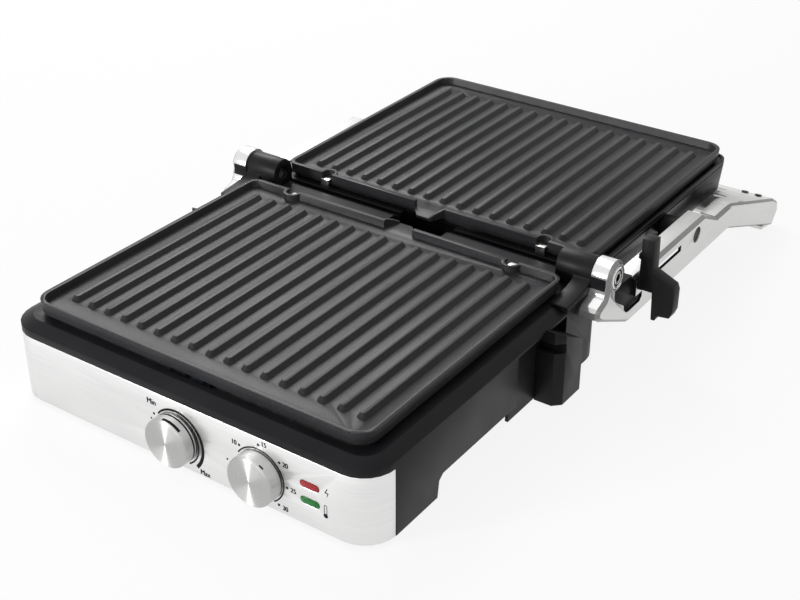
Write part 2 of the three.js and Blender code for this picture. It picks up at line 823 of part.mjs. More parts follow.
function controlBody(x, width, height, length, front) {
  const z = [-controlDepth - height / 2, -controlDepth + height / 2];
  return box([x - width / 2, x + width / 2], [front, front + length], z);
}

// The plate that carries the two lamps, on pillars that reach the housing's front wall.
function lampBoard(wallInner) {
  const middle = -(redLensDepth + greenLensDepth) / 2;
  const y = wallInner + clearance;
  const face = y + lensBody;
  const x = [lensOffset - boardLength / 2, lensOffset + boardLength / 2];
  const z = [middle - boardHeight / 2, middle + boardHeight / 2];
  let board = box(x, [face, face + boardThickness], z);
  for (const side of [-1, 1]) {
    const at = lensOffset + side * (boardLength / 2 - boardThickness);
    board = board.add(cylinderY(boardThickness, at, [y, face + boardThickness / 2], middle, 10));
  }
  return board;
}

// One hinge post: the round barrel on its upright, and the ramp that leads up to it beside the plate.
function hingePost() {
  const low = deckLevel + clearance;
  const upright = [[leg, low], [leg, hingeZ]];
  for (let i = 0; i <= 12; i += 1) {
    const angle = Math.PI - (i * Math.PI) / 12;
    upright.push([hingeY + barrelRadius * Math.cos(angle), hingeZ + barrelRadius * Math.sin(angle)]);
  }
  upright.push([hingeY + barrelRadius, low]);
  const outline = upright.slice(1).reverse();
  outline.push([leg, low]);
  const body = acrossX(outline, [barrelInner, barrelOuter]);
  const start = leg - rampLength;
  const ramp = acrossX([[start, low], [leg + rampRise, low], [leg + rampRise, hingeZ], [leg - rampRise, -rampRise],
    [leg - rampLength / 3, -deckDepth / 2], [start, low + rampRise]], [cornerBlockInner, barrelOuter]);
  const bore = cylinderX(pinRadius + clearance, [barrelInner - overrun, barrelOuter + overrun], hingeY, hingeZ);
  return body.add(ramp).subtract(bore);
}

function hingePin() {
  const end = armOuter - screwHeadDepth - clearance;
  return cylinderX(pinRadius, [barrelInner + pinInset, end], hingeY, hingeZ);
}

function hingeScrew() {
  const x = [armOuter - screwHeadDepth, armOuter + screwHeadProud];
  const head = cylinderX(screwHeadRadius, x, hingeY, hingeZ, 32);
  const socket = cylinderX(screwSocketRadius, [x[1] - screwSocketDepth, x[1] + overrun], hingeY, hingeZ, 6);
  return head.subtract(socket);
}

function keeperLeg() {
  const rear = keeperFront + keeperLength;
  const low = tableLevel + keeperBottomGap;
  const section = [[keeperFront, low], [rear, low], [rear, -keeperRearTop], [keeperFront, -keeperFrontTop]];
  const inside = [keeperInner - overrun, baseHalfWidth + clearance];
  const beside = box(inside, [keeperFront - overrun, rear + overrun], [-nicheTopDepth - clearance, 0]);
  const edge = [
    [keeperOuter - keeperBevel - overrun, keeperFront - overrun],
    [keeperOuter + overrun, keeperFront - overrun],
    [keeperOuter + overrun, keeperFront + keeperBevel + overrun],
  ];
  const bevel = loft([
    { z: tableLevel, points: edge },
    { z: 0, points: edge },
  ]);
  return acrossX(section, [keeperInner, keeperOuter]).subtract(beside).subtract(bevel);
}

function keeper() {
  const y = [keeperFront - overrun, keeperFront + notchLength];
  const z = [-notchTopDepth - notchHeight, -notchTopDepth];
  return keeperLeg().subtract(box([keeperInner - overrun, keeperOuter + overrun], y, z));
}

function dripTray() {
  const rear = baseRear + clearance;
  const front = rear - trayLength;
  const z = [coverTop + clearance, coverTop + clearance + trayHeight];
  const body = box([-trayHalfWidth, trayHalfWidth], [front, rear + clearance], z);
  const inner = [-trayHalfWidth + trayWall, trayHalfWidth - trayWall];
  const hollow = box(inner, [front + trayWall, rear - trayWall], [z[0] + trayWall, z[1] + overrun]);
  const half = trayHalfWidth + trayFaceMargin;
  const face = box([-half, half], [rear, rear + trayFaceThickness], [z[0], z[1] + trayFaceMargin / 2]);
  return body.subtract(hollow).add(face);
}

function gland() {
  const y = baseRear + clearance;
  const sleeve = cylinderY(glandRadius, -glandOffset, [y - glandBody, y + clearance], -glandDepth, 20);
  const flange = cylinderY(glandFlangeRadius, -glandOffset, [y, y + glandFlange], -glandDepth, 20);
  const through = [y - glandBody - overrun, y + glandFlange + overrun];
  return sleeve.add(flange).subtract(cylinderY(glandBore, -glandOffset, through, -glandDepth, 12));
}

// Points on an arm, given as the reach behind the hinge axis and the depth below the rib tops.
const at = (reach, depth) => [hingeY + reach, -depth];

// The opening in the arm's side, from the gap behind the cap down to the web's lower part, in shares of the cap's radius.
const windowShares = [
  [-0.24, 0.2],
  [-0.23, 1.18],
  [-0.06, 1.44],
  [0.22, 1.64],
  [1.08, 2.23],
  [1.15, 2.55],
  [1.45, 2.85],
  [1.75, 2.94],
  [3.22, 2.94],
  [3.45, 2.69],
  [3.44, 2.33],
  [2.6, 2.33],
  [2.6, 1.15],
  [2.34, 1.15],
  [2.34, 0.95],
  [1.2, 0.95],
  [0.85, 0.11],
  [0.72, 0.11],
];
const windowOutline = (grow) => {
  const middle = windowShares.reduce((sum, [a, b]) => [sum[0] + a, sum[1] + b], [0, 0]);
  const [ma, mb] = middle.map((value) => value / windowShares.length);
  return windowShares.map(([a, b]) => {
    const away = new THREE.Vector2(a - ma, b - mb).setLength(grow);
    return at(a * capRadius + away.x, b * capRadius + away.y);
  });
};

// The neck below the cap, which sweeps forward into a foot, in shares of the cap's radius.
const neckShares = [
  [-0.97, 0.1],
  [-1.08, 0.62],
  [-1.22, 0.86],
  [-1.9, 1.12],
  [-2.08, 1.32],
  [-2.1, 1.68],
  [-1.62, 2.06],
  [-0.9, 1.62],
  [-0.2, 0.9],
  [0.2, 0.2],
];

// The arm's side up to its bend, seen from outside.
function armOutline(rear) {
  const cap = [];
  for (let i = 0; i <= 13; i += 1) {
    const angle = ((i - 1) * Math.PI) / 12;
    cap.push(at(capRadius * Math.cos(angle), -hingeZ - capRadius * Math.sin(angle)));
  }
  return [
    ...cap.reverse(),
    at(capRadius * 1.1, armTopDepth - armBevel),
    at(capRadius * 1.4, armTopDepth),
    at(firstFlangeEnd, armTopDepth),
    at(secondFlangeStart, secondFlangeDepth),
    at(rear, secondFlangeDepth),
    at(rear, armRearBottomDepth + rampRise / 2),
    at(capRadius * 1.9, armBottomDepth),
    at(neckShares[6][0] * capRadius, neckShares[6][1] * capRadius),
    ...neckShares.slice(0, 6).reverse().map(([a, b]) => at(a * capRadius, b * capRadius)),
  ].reverse();
}

// An outline drawn out across the grill to x[1], with a bevel round its outer face.
function bevelled(points, x, size) {
  const depth = x[1] - x[0];
  const options = { depth, bevelThickness: size, bevelSize: size, bevelOffset: -size, bevelSegments: 1 };
  const geometry = new THREE.ExtrudeGeometry(shapeOf(points), { ...options, bevelEnabled: true });
  const turn = new THREE.Matrix4();
  turn.makeBasis(new THREE.Vector3(0, 1, 0), new THREE.Vector3(0, 0, 1), new THREE.Vector3(1, 0, 0));
  geometry.applyMatrix4(turn);
  geometry.translate(x[0] - size, 0, 0);
  return solid(geometry);
}

// The arm's last stretch, which drops to the table and turns outwards.
function armEnd() {
  const slope = endTopDepth - secondFlangeDepth;
  const start = -webThickness - 2 * endBevel;
  const points = [
    [start, -secondFlangeDepth],
    [start, -armRearBottomDepth],
    [0, -armRearBottomDepth - rampRise / 2],
    [endBottomReach - bendReach, tableLevel],
    [endReach - bendReach, -endMiddleDepth],
    [endReach - bendReach - rampRise / 2, -endTopDepth - slope / 4],
    [endTopReach - bendReach, -endTopDepth],
    [0, -secondFlangeDepth],
  ];
  const outside = box([-webThickness, overrun], [-bendReach, endReach], [tableLevel - overrun, overrun]);
  return flared(bevelled(points, [-webThickness, 0], endBevel).intersect(outside));
}

// Turns a solid outwards at the bend where the arm's last stretch begins.
function flared(manifold) {
  const geometry = geometryOf(manifold);
  geometry.rotateZ(-flareAngle);
  geometry.translate(armOuter, hingeY + bendReach, 0);
  return solid(geometry);
}

// All that lies outside a sheet parallel to the arm's last stretch, which trims the pieces that end against it.
function beyondFlare(inset) {
  return flared(box([-inset, endReach], [-bendReach, endReach], [tableLevel - overrun, overrun]));
}

// The depth of the arm's sloping top at a reach behind the hinge.
function slopeDepth(reach) {
  const share = (reach - bendReach) / (endTopReach - bendReach);
  return secondFlangeDepth + share * (endTopDepth - secondFlangeDepth);
}

// A point below the arm's sloping top.
const onSlope = (reach, drop) => at(reach, slopeDepth(reach) + drop);

// The narrow flange down the slope, and the wide gusset whose tongue carries the handle bar.
function slopingFlange() {
  const end = barStart - clearance;
  const drop = barWall + 2 * clearance;
  const start = bendReach - clearance;
  const narrow = acrossX([
    onSlope(start, 0),
    onSlope(start, gussetThickness),
    onSlope(gussetStart + clearance, gussetThickness),
    onSlope(gussetStart + clearance, 0),
  ], [flangeInner, armOuter - webThickness / 2]);
  const wide = acrossX([
    onSlope(gussetStart, 0),
    onSlope(gussetStart, gussetThickness),
    onSlope(end - barTongue / 2, gussetThickness),
    onSlope(end - barTongue / 2, gussetThickness + drop),
    onSlope(end + barTongue, gussetThickness + drop),
    onSlope(end + barTongue, drop),
    onSlope(end, drop),
    onSlope(end, 0),
  ], [gussetInner, armOuter + barTongue]);
  return narrow.add(wide).subtract(beyondFlare(endBevel));
}

function handleScrewPlaces() {
  return [handleScrewOffset, handleScrewOffset - handleScrewSpacing];
}

// A round shape on a handle screw's axis, which stands square on the sloping top.
function onScrewAxis(radius, x, z, sides) {
  const reach = endTopReach - handleScrewSetback;
  return placed(cylinderZ(radius, 0, 0, z, sides), [x, hingeY + reach, -slopeDepth(reach)], -slopeAngle);
}

function arm(withSlot) {
  const outerRange = [barrelOuter + clearance, armOuter];
  const through = [barrelOuter - overrun, armOuter + overrun];
  const flange = (from, to, depth) => box([flangeInner, armOuter - webThickness / 2], [hingeY + from, hingeY + to],
    [-depth - flangeThickness, -depth]);
  const cap = cylinderX(capRadius, outerRange, hingeY, hingeZ, 36);
  const neck = acrossX(neckShares.map(([a, b]) => at(a * capRadius, b * capRadius)), outerRange);
  let body = cap.add(neck).subtract(windowRoom(windowCoverMargin + clearance, clearance, 0));
  body = body.add(acrossX(armOutline(bendReach), [armOuter - webThickness, armOuter]));
  body = body.add(flange(flangeStart, firstFlangeEnd, armTopDepth));
  body = body.add(flange(secondFlangeStart, bendReach + clearance, secondFlangeDepth));
  body = body.intersect(bevelled(armOutline(bendReach + 2 * overrun), [flangeInner, armOuter], armBevel));
  const face = cylinderX(capFaceRadius, through, hingeY, hingeZ, 36);
  body = body.subtract(acrossX(windowOutline(0), [armOuter - webThickness, armOuter + overrun]).subtract(face));
  const behindCap = box(through, [hingeY, hingeY + flangeStart], [-armTopDepth - clearance, hingeZ]);
  body = body.subtract(behindCap.subtract(cylinderX(capRadius, through, hingeY, hingeZ, 36)));
  body = body.add(armEnd()).add(slopingFlange());
  const tongue = [-barWall - 2 * clearance - gussetThickness - overrun, 0];
  for (const x of handleScrewPlaces()) {
    body = body.subtract(onScrewAxis(handleScrewRadius + clearance, x, tongue, 12));
  }
  body = body.subtract(cylinderX(pinRadius + clearance, through, hingeY, hingeZ));
  const sunk = [armOuter - screwHeadDepth - clearance, armOuter + overrun];
  body = body.subtract(cylinderX(screwHeadRadius + clearance, sunk, hingeY, hingeZ, 32));
  body = body.subtract(cylinderX(pivotRadius + clearance, through, hingeY + pivotReach, -pivotDepth));
  if (withSlot) {
    const y = [hingeY + slotStart, hingeY + slotEnd];
    const z = [-slotDepth - slotHeight / 2, -slotDepth + slotHeight / 2];
    body = body.subtract(box(through, y, z));
  }
  return body;
}

// The space of the black block behind the window, which ends round the cap's flat face.
function windowRoom(margin, gap, faceGap) {
  const outer = armOuter - webThickness - clearance;
  const x = [outer - windowCoverThickness - gap, outer + gap];
  const face = cylinderX(capFaceRadius + faceGap, [x[0] - overrun, x[1] + overrun], hingeY, hingeZ, 36);
  return acrossX(windowOutline(margin), x).subtract(face);
}

function windowCover() {
  const across = [barrelOuter, armOuter];
  const block = windowRoom(windowCoverMargin, 0, clearance);
  const flangeLevel = -armTopDepth - flangeThickness - clearance;
  const underFlange = box(across, [hingeY + flangeStart - clearance, hingeY + slotEnd], [flangeLevel, 0]);
  const room = box(across, [hingeY + keepStart - clearance, hingeY + slotEnd],
    [-slotDepth - keepHeight / 2 - clearance * 2, 0]);
  const besideCap = box(across, [hingeY, hingeY + 2 * capRadius], [-blockTopShare * capRadius, capRadius]);
  const cap = cylinderX(capRadius + clearance, across, hingeY, hingeZ, 36).intersect(besideCap);
  return block.subtract(underFlange).subtract(room).subtract(cap);
}

// The channel-shaped bar between the arms' ends.
function handleBar() {
  const half = armOuter + barTongue;
  const nose = endReach - barWall;
  const section = [
    at(barStart, slopeDepth(barStart)),
    at(barStart, slopeDepth(barStart) + barWall),
    at(endTopReach - barWall, endTopDepth + barWall - clearance),
    at(nose - barWall * 2, endTopDepth + barWall * 3),
    at(nose - barWall, endMiddleDepth),
    at(endBottomReach - barWall * 2, cookingHeight - barWall),
    at(endBottomReach - barWall * 5, cookingHeight - barWall),
    at(endBottomReach - barWall * 5, cookingHeight),
    at(endBottomReach - barWall, cookingHeight),
    at(nose, endMiddleDepth),
    at(nose - barWall, endTopDepth + barWall * 2),
    at(endTopReach - clearance, endTopDepth),
  ];
  const trim = beyondFlare(webThickness + clearance);
  let bar = acrossX(section, [-half, half]).subtract(trim).subtract(mirrored(trim));
  for (const x of handleScrewPlaces().flatMap((place) => [place, -place])) {
    bar = bar.subtract(onScrewAxis(handleScrewRadius + clearance, x, [-2 * barWall, overrun], 12));
  }
  return bar;
}

function handleScrew(x) {
  const head = onScrewAxis(handleScrewHead, x, [clearance, clearance + handleScrewHeadHeight], 16);
  return head.add(onScrewAxis(handleScrewRadius, x, [-2 * barWall, clearance * 2], 12));
}

// The slider's front, drawn as distances out from the arm's face and heights above the rib tops, in shares of its length.
const sliderShares = [
  [0.05, 1.74],
  [0.95, 1.74],
  [1.02, -0.62],
  [2.58, -1.3],
  [2.74, -1.72],
  [2.74, -3.25],
  [2.55, -3.78],
  [1.62, -3.9],
  [1.5, -4.3],
  [1.2, -4.3],
  [1.1, -2.2],
  [0.05, -2.2],
  [0.05, 0.12],
  [-0.12, 0.2],
  [-0.12, 0.55],
  [0.05, 0.66],
];

function slider() {
  const y = [hingeY + sliderStart, hingeY + sliderStart + sliderLength];
  const face = armOuter + clearance;
  const outline = sliderShares.map(([a, b]) => [face + a * sliderLength, b * sliderLength]).reverse();
  const body = alongY(outline, y);
  const stemStart = hingeY + slotStart + stemGap;
  const stemHalf = slotHeight / 2 - clearance;
  const inner = armOuter - webThickness - clearance;
  const stem = box([inner - keepThickness, face + sliderLength / 4], [stemStart, stemStart + stemLength],
    [-slotDepth - stemHalf, -slotDepth + stemHalf]);
  const keep = box([inner - keepThickness, inner], [hingeY + keepStart, hingeY + keepStart + keepLength],
    [-slotDepth - keepHeight / 2, -slotDepth + keepHeight / 2]);
  return body.add(stem).add(keep);
}

// The lid's outlines are drawn in the base's place and turned end for end with the rest of the lid.
function lidOutline(inset) {
  const front = -plateFrontMargin - lidMargin;
  const rear = plateRear + lidMargin;
  return roundedOutline(lidHalfWidth, front, rear, lidRadius, lidRadius, inset);
}

function lidNotch() {
  const y = [plateRear + lidMargin - lidNotchDepth, plateRear + lidMargin + overrun];
  const low = deckLevel - lidFrameThickness - lidCoverDepth - overrun;
  return box([-trough, trough], y, [low, deckLevel + lidLipHeight + overrun]);
}

// The flat frame round the lid's well, with a low edge on the three sides that lie away from the hinge.
function lidFrame() {
  const low = deckLevel - lidFrameThickness;
  const top = deckLevel + lidLipHeight;
  const plateRoom = loft([
    { z: deckLevel, points: lidOutline(lidLipWidth) },
    { z: top + overrun, points: lidOutline(lidLipWidth) },
  ]);
  const well = loft([
    { z: low - overrun, points: wellOutline(0) },
    { z: top + overrun, points: wellOutline(0) },
  ]);
  const half = lidHalfWidth + overrun;
  const hingeSide = box([-half, half], [plateRear - wellRearMargin, plateRear + lidMargin + overrun],
    [deckLevel, top + overrun]);
  const block = loft([
    { z: low, points: lidOutline(0) },
    { z: top, points: lidOutline(0) },
  ]);
  return block.subtract(plateRoom).subtract(well).subtract(hingeSide).subtract(lidNotch());
}

function lidCover() {
  const top = deckLevel - lidFrameThickness - clearance;
  const low = top - lidCoverDepth;
  const shoulder = top - lidShoulderDepth;
  const shell = (inset, up) => [
    { z: low + up, points: lidOutline(lidCrownDraft + inset) },
    { z: shoulder + up / 2, points: lidOutline(lidCoverDraft + inset) },
    { z: top + up, points: lidOutline(inset) },
  ];
  let cover = loft(shell(0, 0)).subtract(loft(shell(lidWall, lidWall)));
  const wall = [lidHalfWidth - lidCoverDraft * 3, lidHalfWidth + overrun];
  const y = hingeY - pivotReach;
  for (const x of [wall, [-wall[1], -wall[0]]]) {
    cover = cover.subtract(cylinderX(pivotRadius + clearance, x, y, -pivotDepth + upperDrop, 20));
  }
  const notchFront = plateRear + lidMargin - lidNotchDepth - lidWall;
  const guard = box([-trough - lidWall, trough + lidWall], [notchFront, plateRear + lidMargin], [low, top]);
  return cover.add(guard.intersect(loft(shell(0, 0)))).subtract(lidNotch());
}

// The lid's pivot: a stud through the lid's side, with its head inside, and the collar that fills the gap to the arm.
function lidPivot() {
  const wallInner = lidHalfWidth - lidWall - lidCoverDraft;
  const x = [wallInner - pivotHeadThickness, armOuter - pivotRecess];
  const stud = cylinderX(pivotRadius, x, hingeY + pivotReach, -pivotDepth);
  const head = cylinderX(pivotHeadRadius, [x[0], wallInner - clearance * 2], hingeY + pivotReach, -pivotDepth);
  return stud.add(head);
}

function pivotCollar() {
  const x = [lidHalfWidth + clearance, armOuter - webThickness - clearance];
  const collar = cylinderX(collarRadius, x, hingeY + pivotReach, -pivotDepth - flangeThickness);
  const past = [x[0] - overrun, x[1] + overrun];
  return collar.subtract(cylinderX(pivotRadius + clearance, past, hingeY + pivotReach, -pivotDepth));
}

// The base.
blackPlastic("base_shell", baseShell());
steel("front_panel", frontPanel());
blackPlastic("base_bottom_cover", bottomCover());
const footFront = -baseFront + footFrontInset;
const footRear = baseRear - footRearInset;
for (const [name, x, y] of [
  ["foot_front_left", -footOffset, footFront],
  ["foot_front_right", footOffset, footFront],
  ["foot_rear_left", -footOffset, footRear],
  ["foot_rear_right", footOffset, footRear],
]) {
  const { shape, place } = foot(x, y);
  rubber(name, placed(shape, place, Math.PI / 2));
}
steel("lower_reflector", reflector());
steel("lower_heating_element", element());
coatedCasting("lower_plate", plate());
steel("lower_hook_left", hook(-hookOffset));
steel("lower_hook_right", hook(hookOffset));
steel("lower_plate_spring", plateSpring());

// The controls.
const wallInner = -baseFront + panelThickness + clearance + shellWall;
const bodyFront = wallInner + clearance;
blackPlastic("thermostat", controlBody(temperatureOffset, thermostatWidth, thermostatHeight, thermostatLength, bodyFront));
blackPlastic("timer", controlBody(timerOffset, timerWidth, timerHeight, timerLength, bodyFront));
steel("thermostat_shaft", controlShaft(temperatureOffset, bodyFront));
steel("timer_shaft", controlShaft(timerOffset, bodyFront));
const knobFoot = -baseFront - knobGap;
satinAluminium("temperature_knob", placed(knob(), [temperatureOffset, knobFoot, -controlDepth], Math.PI));
satinAluminium("timer_knob", placed(knob(), [timerOffset, knobFoot, -controlDepth], Math.PI));
const lensRange = [-baseFront - lensProud, bodyFront + lensBody - clearance];
add("power_lens", 0xb02a33, 0.3, 0, lens(-redLensDepth, 0, lensRange));
add("ready_lens", 0x2f8a4c, 0.3, 0, lens(-greenLensDepth, 0, lensRange));
add("lamp_board", 0x3f6b4a, 0.7, 0, lampBoard(wallInner));

// The hinge and the rear.
const rightPost = hingePost();
blackPlastic("hinge_post_right", rightPost);
blackPlastic("hinge_post_left", mirrored(rightPost));
const rightPin = hingePin();
steel("hinge_pin_right", rightPin);
steel("hinge_pin_left", mirrored(rightPin));
blackPlastic("lock_keeper", keeper());
blackPlastic("rear_leg_left", mirrored(keeperLeg()));
blackPlastic("drip_tray", dripTray());
rubber("cord_gland", gland());

// The arms, the handle and the slider.
satinAluminium("right_arm", arm(true));
satinAluminium("left_arm", mirrored(arm(false)));
const rightScrew = hingeScrew();
steel("hinge_screw_right", rightScrew);
steel("hinge_screw_left", mirrored(rightScrew));
blackPlastic("window_cover_right", windowCover());
blackPlastic("window_cover_left", mirrored(windowCover()));
satinAluminium("handle_bar", handleBar());
const [outerScrew, innerScrew] = handleScrewPlaces();
for (const [name, x] of [
  ["handle_screw_right_outer", outerScrew],
  ["handle_screw_right_inner", innerScrew],
  ["handle_screw_left_outer", -outerScrew],
  ["handle_screw_left_inner", -innerScrew],
]) {
  rubber(name, handleScrew(x));
}
blackPlastic("lock_slider", slider());

// The lid.
blackPlastic("lid_frame", lidFrame(), lidPlace);
blackPlastic("lid_cover", lidCover(), lidPlace);
steel("upper_reflector", reflector(), lidPlace);
steel("upper_heating_element", element(), lidPlace);
coatedCasting("upper_plate", plate(), lidPlace);
steel("upper_hook_right", hook(-hookOffset), lidPlace);
steel("upper_hook_left", hook(hookOffset), lidPlace);
steel("upper_plate_spring", plateSpring(), lidPlace);
const rightPivot = lidPivot();
steel("lid_pivot_right", rightPivot);
steel("lid_pivot_left", mirrored(rightPivot));
const rightCollar = pivotCollar();
blackPlastic("pivot_collar_right", rightCollar);
blackPlastic("pivot_collar_left", mirrored(rightCollar));

// The origin is the middle of the grill's outer box, on the table.
grill.updateMatrixWorld(true);
const extent = new THREE.Box3().setFromObject(grill, true);
const middle = extent.getCenter(new THREE.Vector3());
grill.position.set(-middle.x, -middle.y, -extent.min.z);

export default grill;
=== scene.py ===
import json
import math

import bmesh
import bpy
from mathutils import Matrix, Vector


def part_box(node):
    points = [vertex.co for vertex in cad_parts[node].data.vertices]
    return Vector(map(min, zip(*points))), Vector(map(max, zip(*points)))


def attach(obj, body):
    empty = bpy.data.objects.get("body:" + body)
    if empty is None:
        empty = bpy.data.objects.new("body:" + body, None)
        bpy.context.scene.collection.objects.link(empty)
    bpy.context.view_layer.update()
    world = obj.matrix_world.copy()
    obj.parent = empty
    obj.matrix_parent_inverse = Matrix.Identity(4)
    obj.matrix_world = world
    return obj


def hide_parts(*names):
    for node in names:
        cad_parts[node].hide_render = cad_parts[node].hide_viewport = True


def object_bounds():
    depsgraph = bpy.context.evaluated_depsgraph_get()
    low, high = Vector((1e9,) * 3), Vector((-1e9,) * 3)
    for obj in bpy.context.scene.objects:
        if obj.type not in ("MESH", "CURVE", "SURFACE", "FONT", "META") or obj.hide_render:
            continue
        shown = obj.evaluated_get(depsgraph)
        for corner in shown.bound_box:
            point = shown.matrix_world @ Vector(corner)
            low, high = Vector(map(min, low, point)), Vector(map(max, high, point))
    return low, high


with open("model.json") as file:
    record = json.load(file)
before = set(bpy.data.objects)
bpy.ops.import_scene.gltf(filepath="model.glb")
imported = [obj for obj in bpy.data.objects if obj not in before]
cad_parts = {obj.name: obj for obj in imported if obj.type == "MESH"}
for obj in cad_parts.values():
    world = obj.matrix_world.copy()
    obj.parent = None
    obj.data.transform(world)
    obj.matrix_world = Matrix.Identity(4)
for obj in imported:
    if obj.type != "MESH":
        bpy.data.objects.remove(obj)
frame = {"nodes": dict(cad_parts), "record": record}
cad_low, cad_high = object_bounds()

MM = 0.001

# The drawing's own zero: the middle of the lower plate, the front ends of its ribs and the tops of its ribs.
plate_low, plate_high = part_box("lower_plate")
PLATE_FRONT = -23.5
RIM_TOP = 2
ZERO = Vector(((plate_low.x + plate_high.x) / 2, plate_low.y - PLATE_FRONT * MM, plate_high.z - RIM_TOP * MM))


def at(x, y, z):
    """A place given in millimetres from the drawing's zero, in metres in the part's own frame."""
    return ZERO + Vector((x, y, z)) * MM


# The camera stands to the right of the control side and looks down at the open grill.
CAMERA_PLACE = (564.3, -582.7, 509.3)
AZIMUTH = math.radians(34.935)
ELEVATION = math.radians(30.39)
IMAGE_WIDTH = 800
FOCAL_PIXELS = 1402.25
SENSOR = 36

camera_data = bpy.data.cameras.new("photo_camera")
camera_data.sensor_width = SENSOR
camera_data.lens = SENSOR * FOCAL_PIXELS / IMAGE_WIDTH
camera_data.clip_start = 0.02
camera_data.clip_end = 50
camera = bpy.data.objects.new("photo_camera", camera_data)
bpy.context.collection.objects.link(camera)
back = Vector((
    math.sin(AZIMUTH) * math.cos(ELEVATION),
    -math.cos(AZIMUTH) * math.cos(ELEVATION),
    math.sin(ELEVATION),
))
camera.location = at(*CAMERA_PLACE)
camera.rotation_mode = "QUATERNION"
camera.rotation_quaternion = (-back).to_track_quat("-Z", "Y")
bpy.context.scene.camera = camera
bpy.context.scene.view_settings.view_transform = "Standard"


# Materials.

def linear(colour):
    """A linear colour from an sRGB hex value."""
    parts = [int(colour[i:i + 2], 16) / 255 for i in (1, 3, 5)]
    return [c / 12.92 if c <= 0.04045 else ((c + 0.055) / 1.055) ** 2.4 for c in parts] + [1]


def put(tree, kind, inputs=(), **settings):
    """Adds a node: the settings are its own, and each input is a value or another node's socket."""
    new = tree.nodes.new(kind)
    for name, value in settings.items():
        setattr(new, name, value)
    for name, value in dict(inputs).items():
        if isinstance(value, bpy.types.NodeSocket):
            tree.links.new(value, new.inputs[name])
        else:
            new.inputs[name].default_value = value
    return new


def finish(name, roughness, metallic=0.0, also=()):
    """A material with its shader, whose colour, roughness and bump its caller links."""
    material = bpy.data.materials.new(name)
    material.use_nodes = True
    tree = material.node_tree
    shader = tree.nodes["Principled BSDF"]
    for key, value in {"Roughness": roughness, "Metallic": metallic, **dict(also)}.items():
        shader.inputs[key].default_value = value
    return material, tree, shader


def place_of(tree, stretch=(1, 1, 1)):
    """Places on the piece in metres, squeezed along an axis where a pattern runs long."""
    own = put(tree, "ShaderNodeTexCoord").outputs["Object"]
    return put(tree, "ShaderNodeMapping", {"Vector": own, "Scale": stretch}).outputs["Vector"]


def grain(tree, where, size, detail=2.0, rough=0.5):
    """Noise whose lumps are size millimetres across."""
    lumps = {"Vector": where, "Scale": 1 / (size * MM), "Detail": detail, "Roughness": rough}
    return put(tree, "ShaderNodeTexNoise", lumps).outputs["Fac"]


def spread(tree, value, low, high, source=(0.35, 0.65)):
    """Turns noise into a number between two limits."""
    limits = {"Value": value, "From Min": source[0], "From Max": source[1], "To Min": low, "To Max": high}
    return put(tree, "ShaderNodeMapRange", limits).outputs["Result"]


def tinted(tree, value, dark, light):
    """A colour between two hex values."""
    ends = {0: value, 6: linear(dark), 7: linear(light)}
    return put(tree, "ShaderNodeMix", ends, data_type="RGBA").outputs[2]


def bumped(tree, shader, height, depth):
    """Raises the surface by depth millimetres where the height is one."""
    bump = put(tree, "ShaderNodeBump", {"Height": height, "Distance": depth * MM})
    tree.links.new(bump.outputs["Normal"], shader.inputs["Normal"])


def two_scales(name, dark, light, coarse, fine, depth, roughness, metallic=0.0, swing=0.06, also=()):
    """A finish whose colour and gloss wander over a coarse size in millimetres and its bump over a fine one."""
    material, tree, shader = finish(name, roughness, metallic, also)
    where = place_of(tree)
    wide = grain(tree, where, coarse, 3.0)
    tree.links.new(tinted(tree, spread(tree, wide, 0, 1), dark, light), shader.inputs["Base Color"])
    tree.links.new(spread(tree, wide, roughness - swing, roughness + swing), shader.inputs["Roughness"])
    bumped(tree, shader, grain(tree, where, fine), depth)
    return material


# How much of the room the black parts give back, where a clear gloss has 0.5.
GRAINED = {"Specular IOR Level": 0.13}
FILLED = {"Specular IOR Level": 0.15}
LACQUERED = {"Specular IOR Level": 0.09}

# ABS moulded in a spark-eroded tool: a fine even grain that breaks up the gloss.
moulded_abs = two_scales("moulded_abs", "#17171a", "#1d1d1f", 45, 0.7, 0.03, 0.42, swing=0.04, also=GRAINED)
# Glass-filled nylon of the slider and the keeper: a little paler, with a coarser grain.
moulded_nylon = two_scales(
    "moulded_nylon", "#131314", "#1a1a1b", 30, 0.8, 0.04, 0.45, swing=0.05, also=FILLED)
# Phenolic in the hinge posts, which stands the heat: matt and a little uneven.
moulded_phenolic = two_scales("moulded_phenolic", "#101011", "#161617", 35, 0.9, 0.03, 0.4, also=FILLED)
# The lid's cover, lacquered: blacker and smoother than the base, with a clearer highlight.
lacquered_abs = two_scales(
    "lacquered_abs", "#0a0a0b", "#101011", 60, 1.2, 0.01, 0.26, swing=0.04, also=LACQUERED)
# Zinc die-casting, polished and chromium plated: bright as a mirror, with the slight swim of hand polishing.
plated_zinc = two_scales("plated_zinc", "#dedede", "#eaeaea", 40, 9, 0.03, 0.12, 0.62, swing=0.03)
# Aluminised pressed steel: a soft spangle.
pressed_steel = two_scales("pressed_steel", "#9c9c99", "#b4b4b0", 8, 1.5, 0.02, 0.34, 1.0, swing=0.08)
# Zinc-plated strip and turned pins: bright, with small cloudy crystals.
plated_strip = two_scales("plated_strip", "#cfcfca", "#e6e6e2", 6, 0.8, 0.01, 0.2, 1.0, swing=0.08)
# Spring steel, blued by its tempering: a dark blue-grey sheen.
blued_spring = two_scales("blued_spring", "#24262b", "#35373d", 5, 0.8, 0.01, 0.32, 1.0, swing=0.08)
# The sheath of a heating element, dulled by heat to an uneven brown-grey.
heated_sheath = two_scales("heated_sheath", "#3c3936", "#57524d", 14, 0.9, 0.04, 0.5, 0.8, swing=0.1)
# Blackened steel of screws and pins: nearly black, with a soft sheen.
blackened_steel = two_scales(
    "blackened_steel", "#0d0d0d", "#171717", 3, 0.5, 0.02, 0.38, 0.2, swing=0.08, also=FILLED)
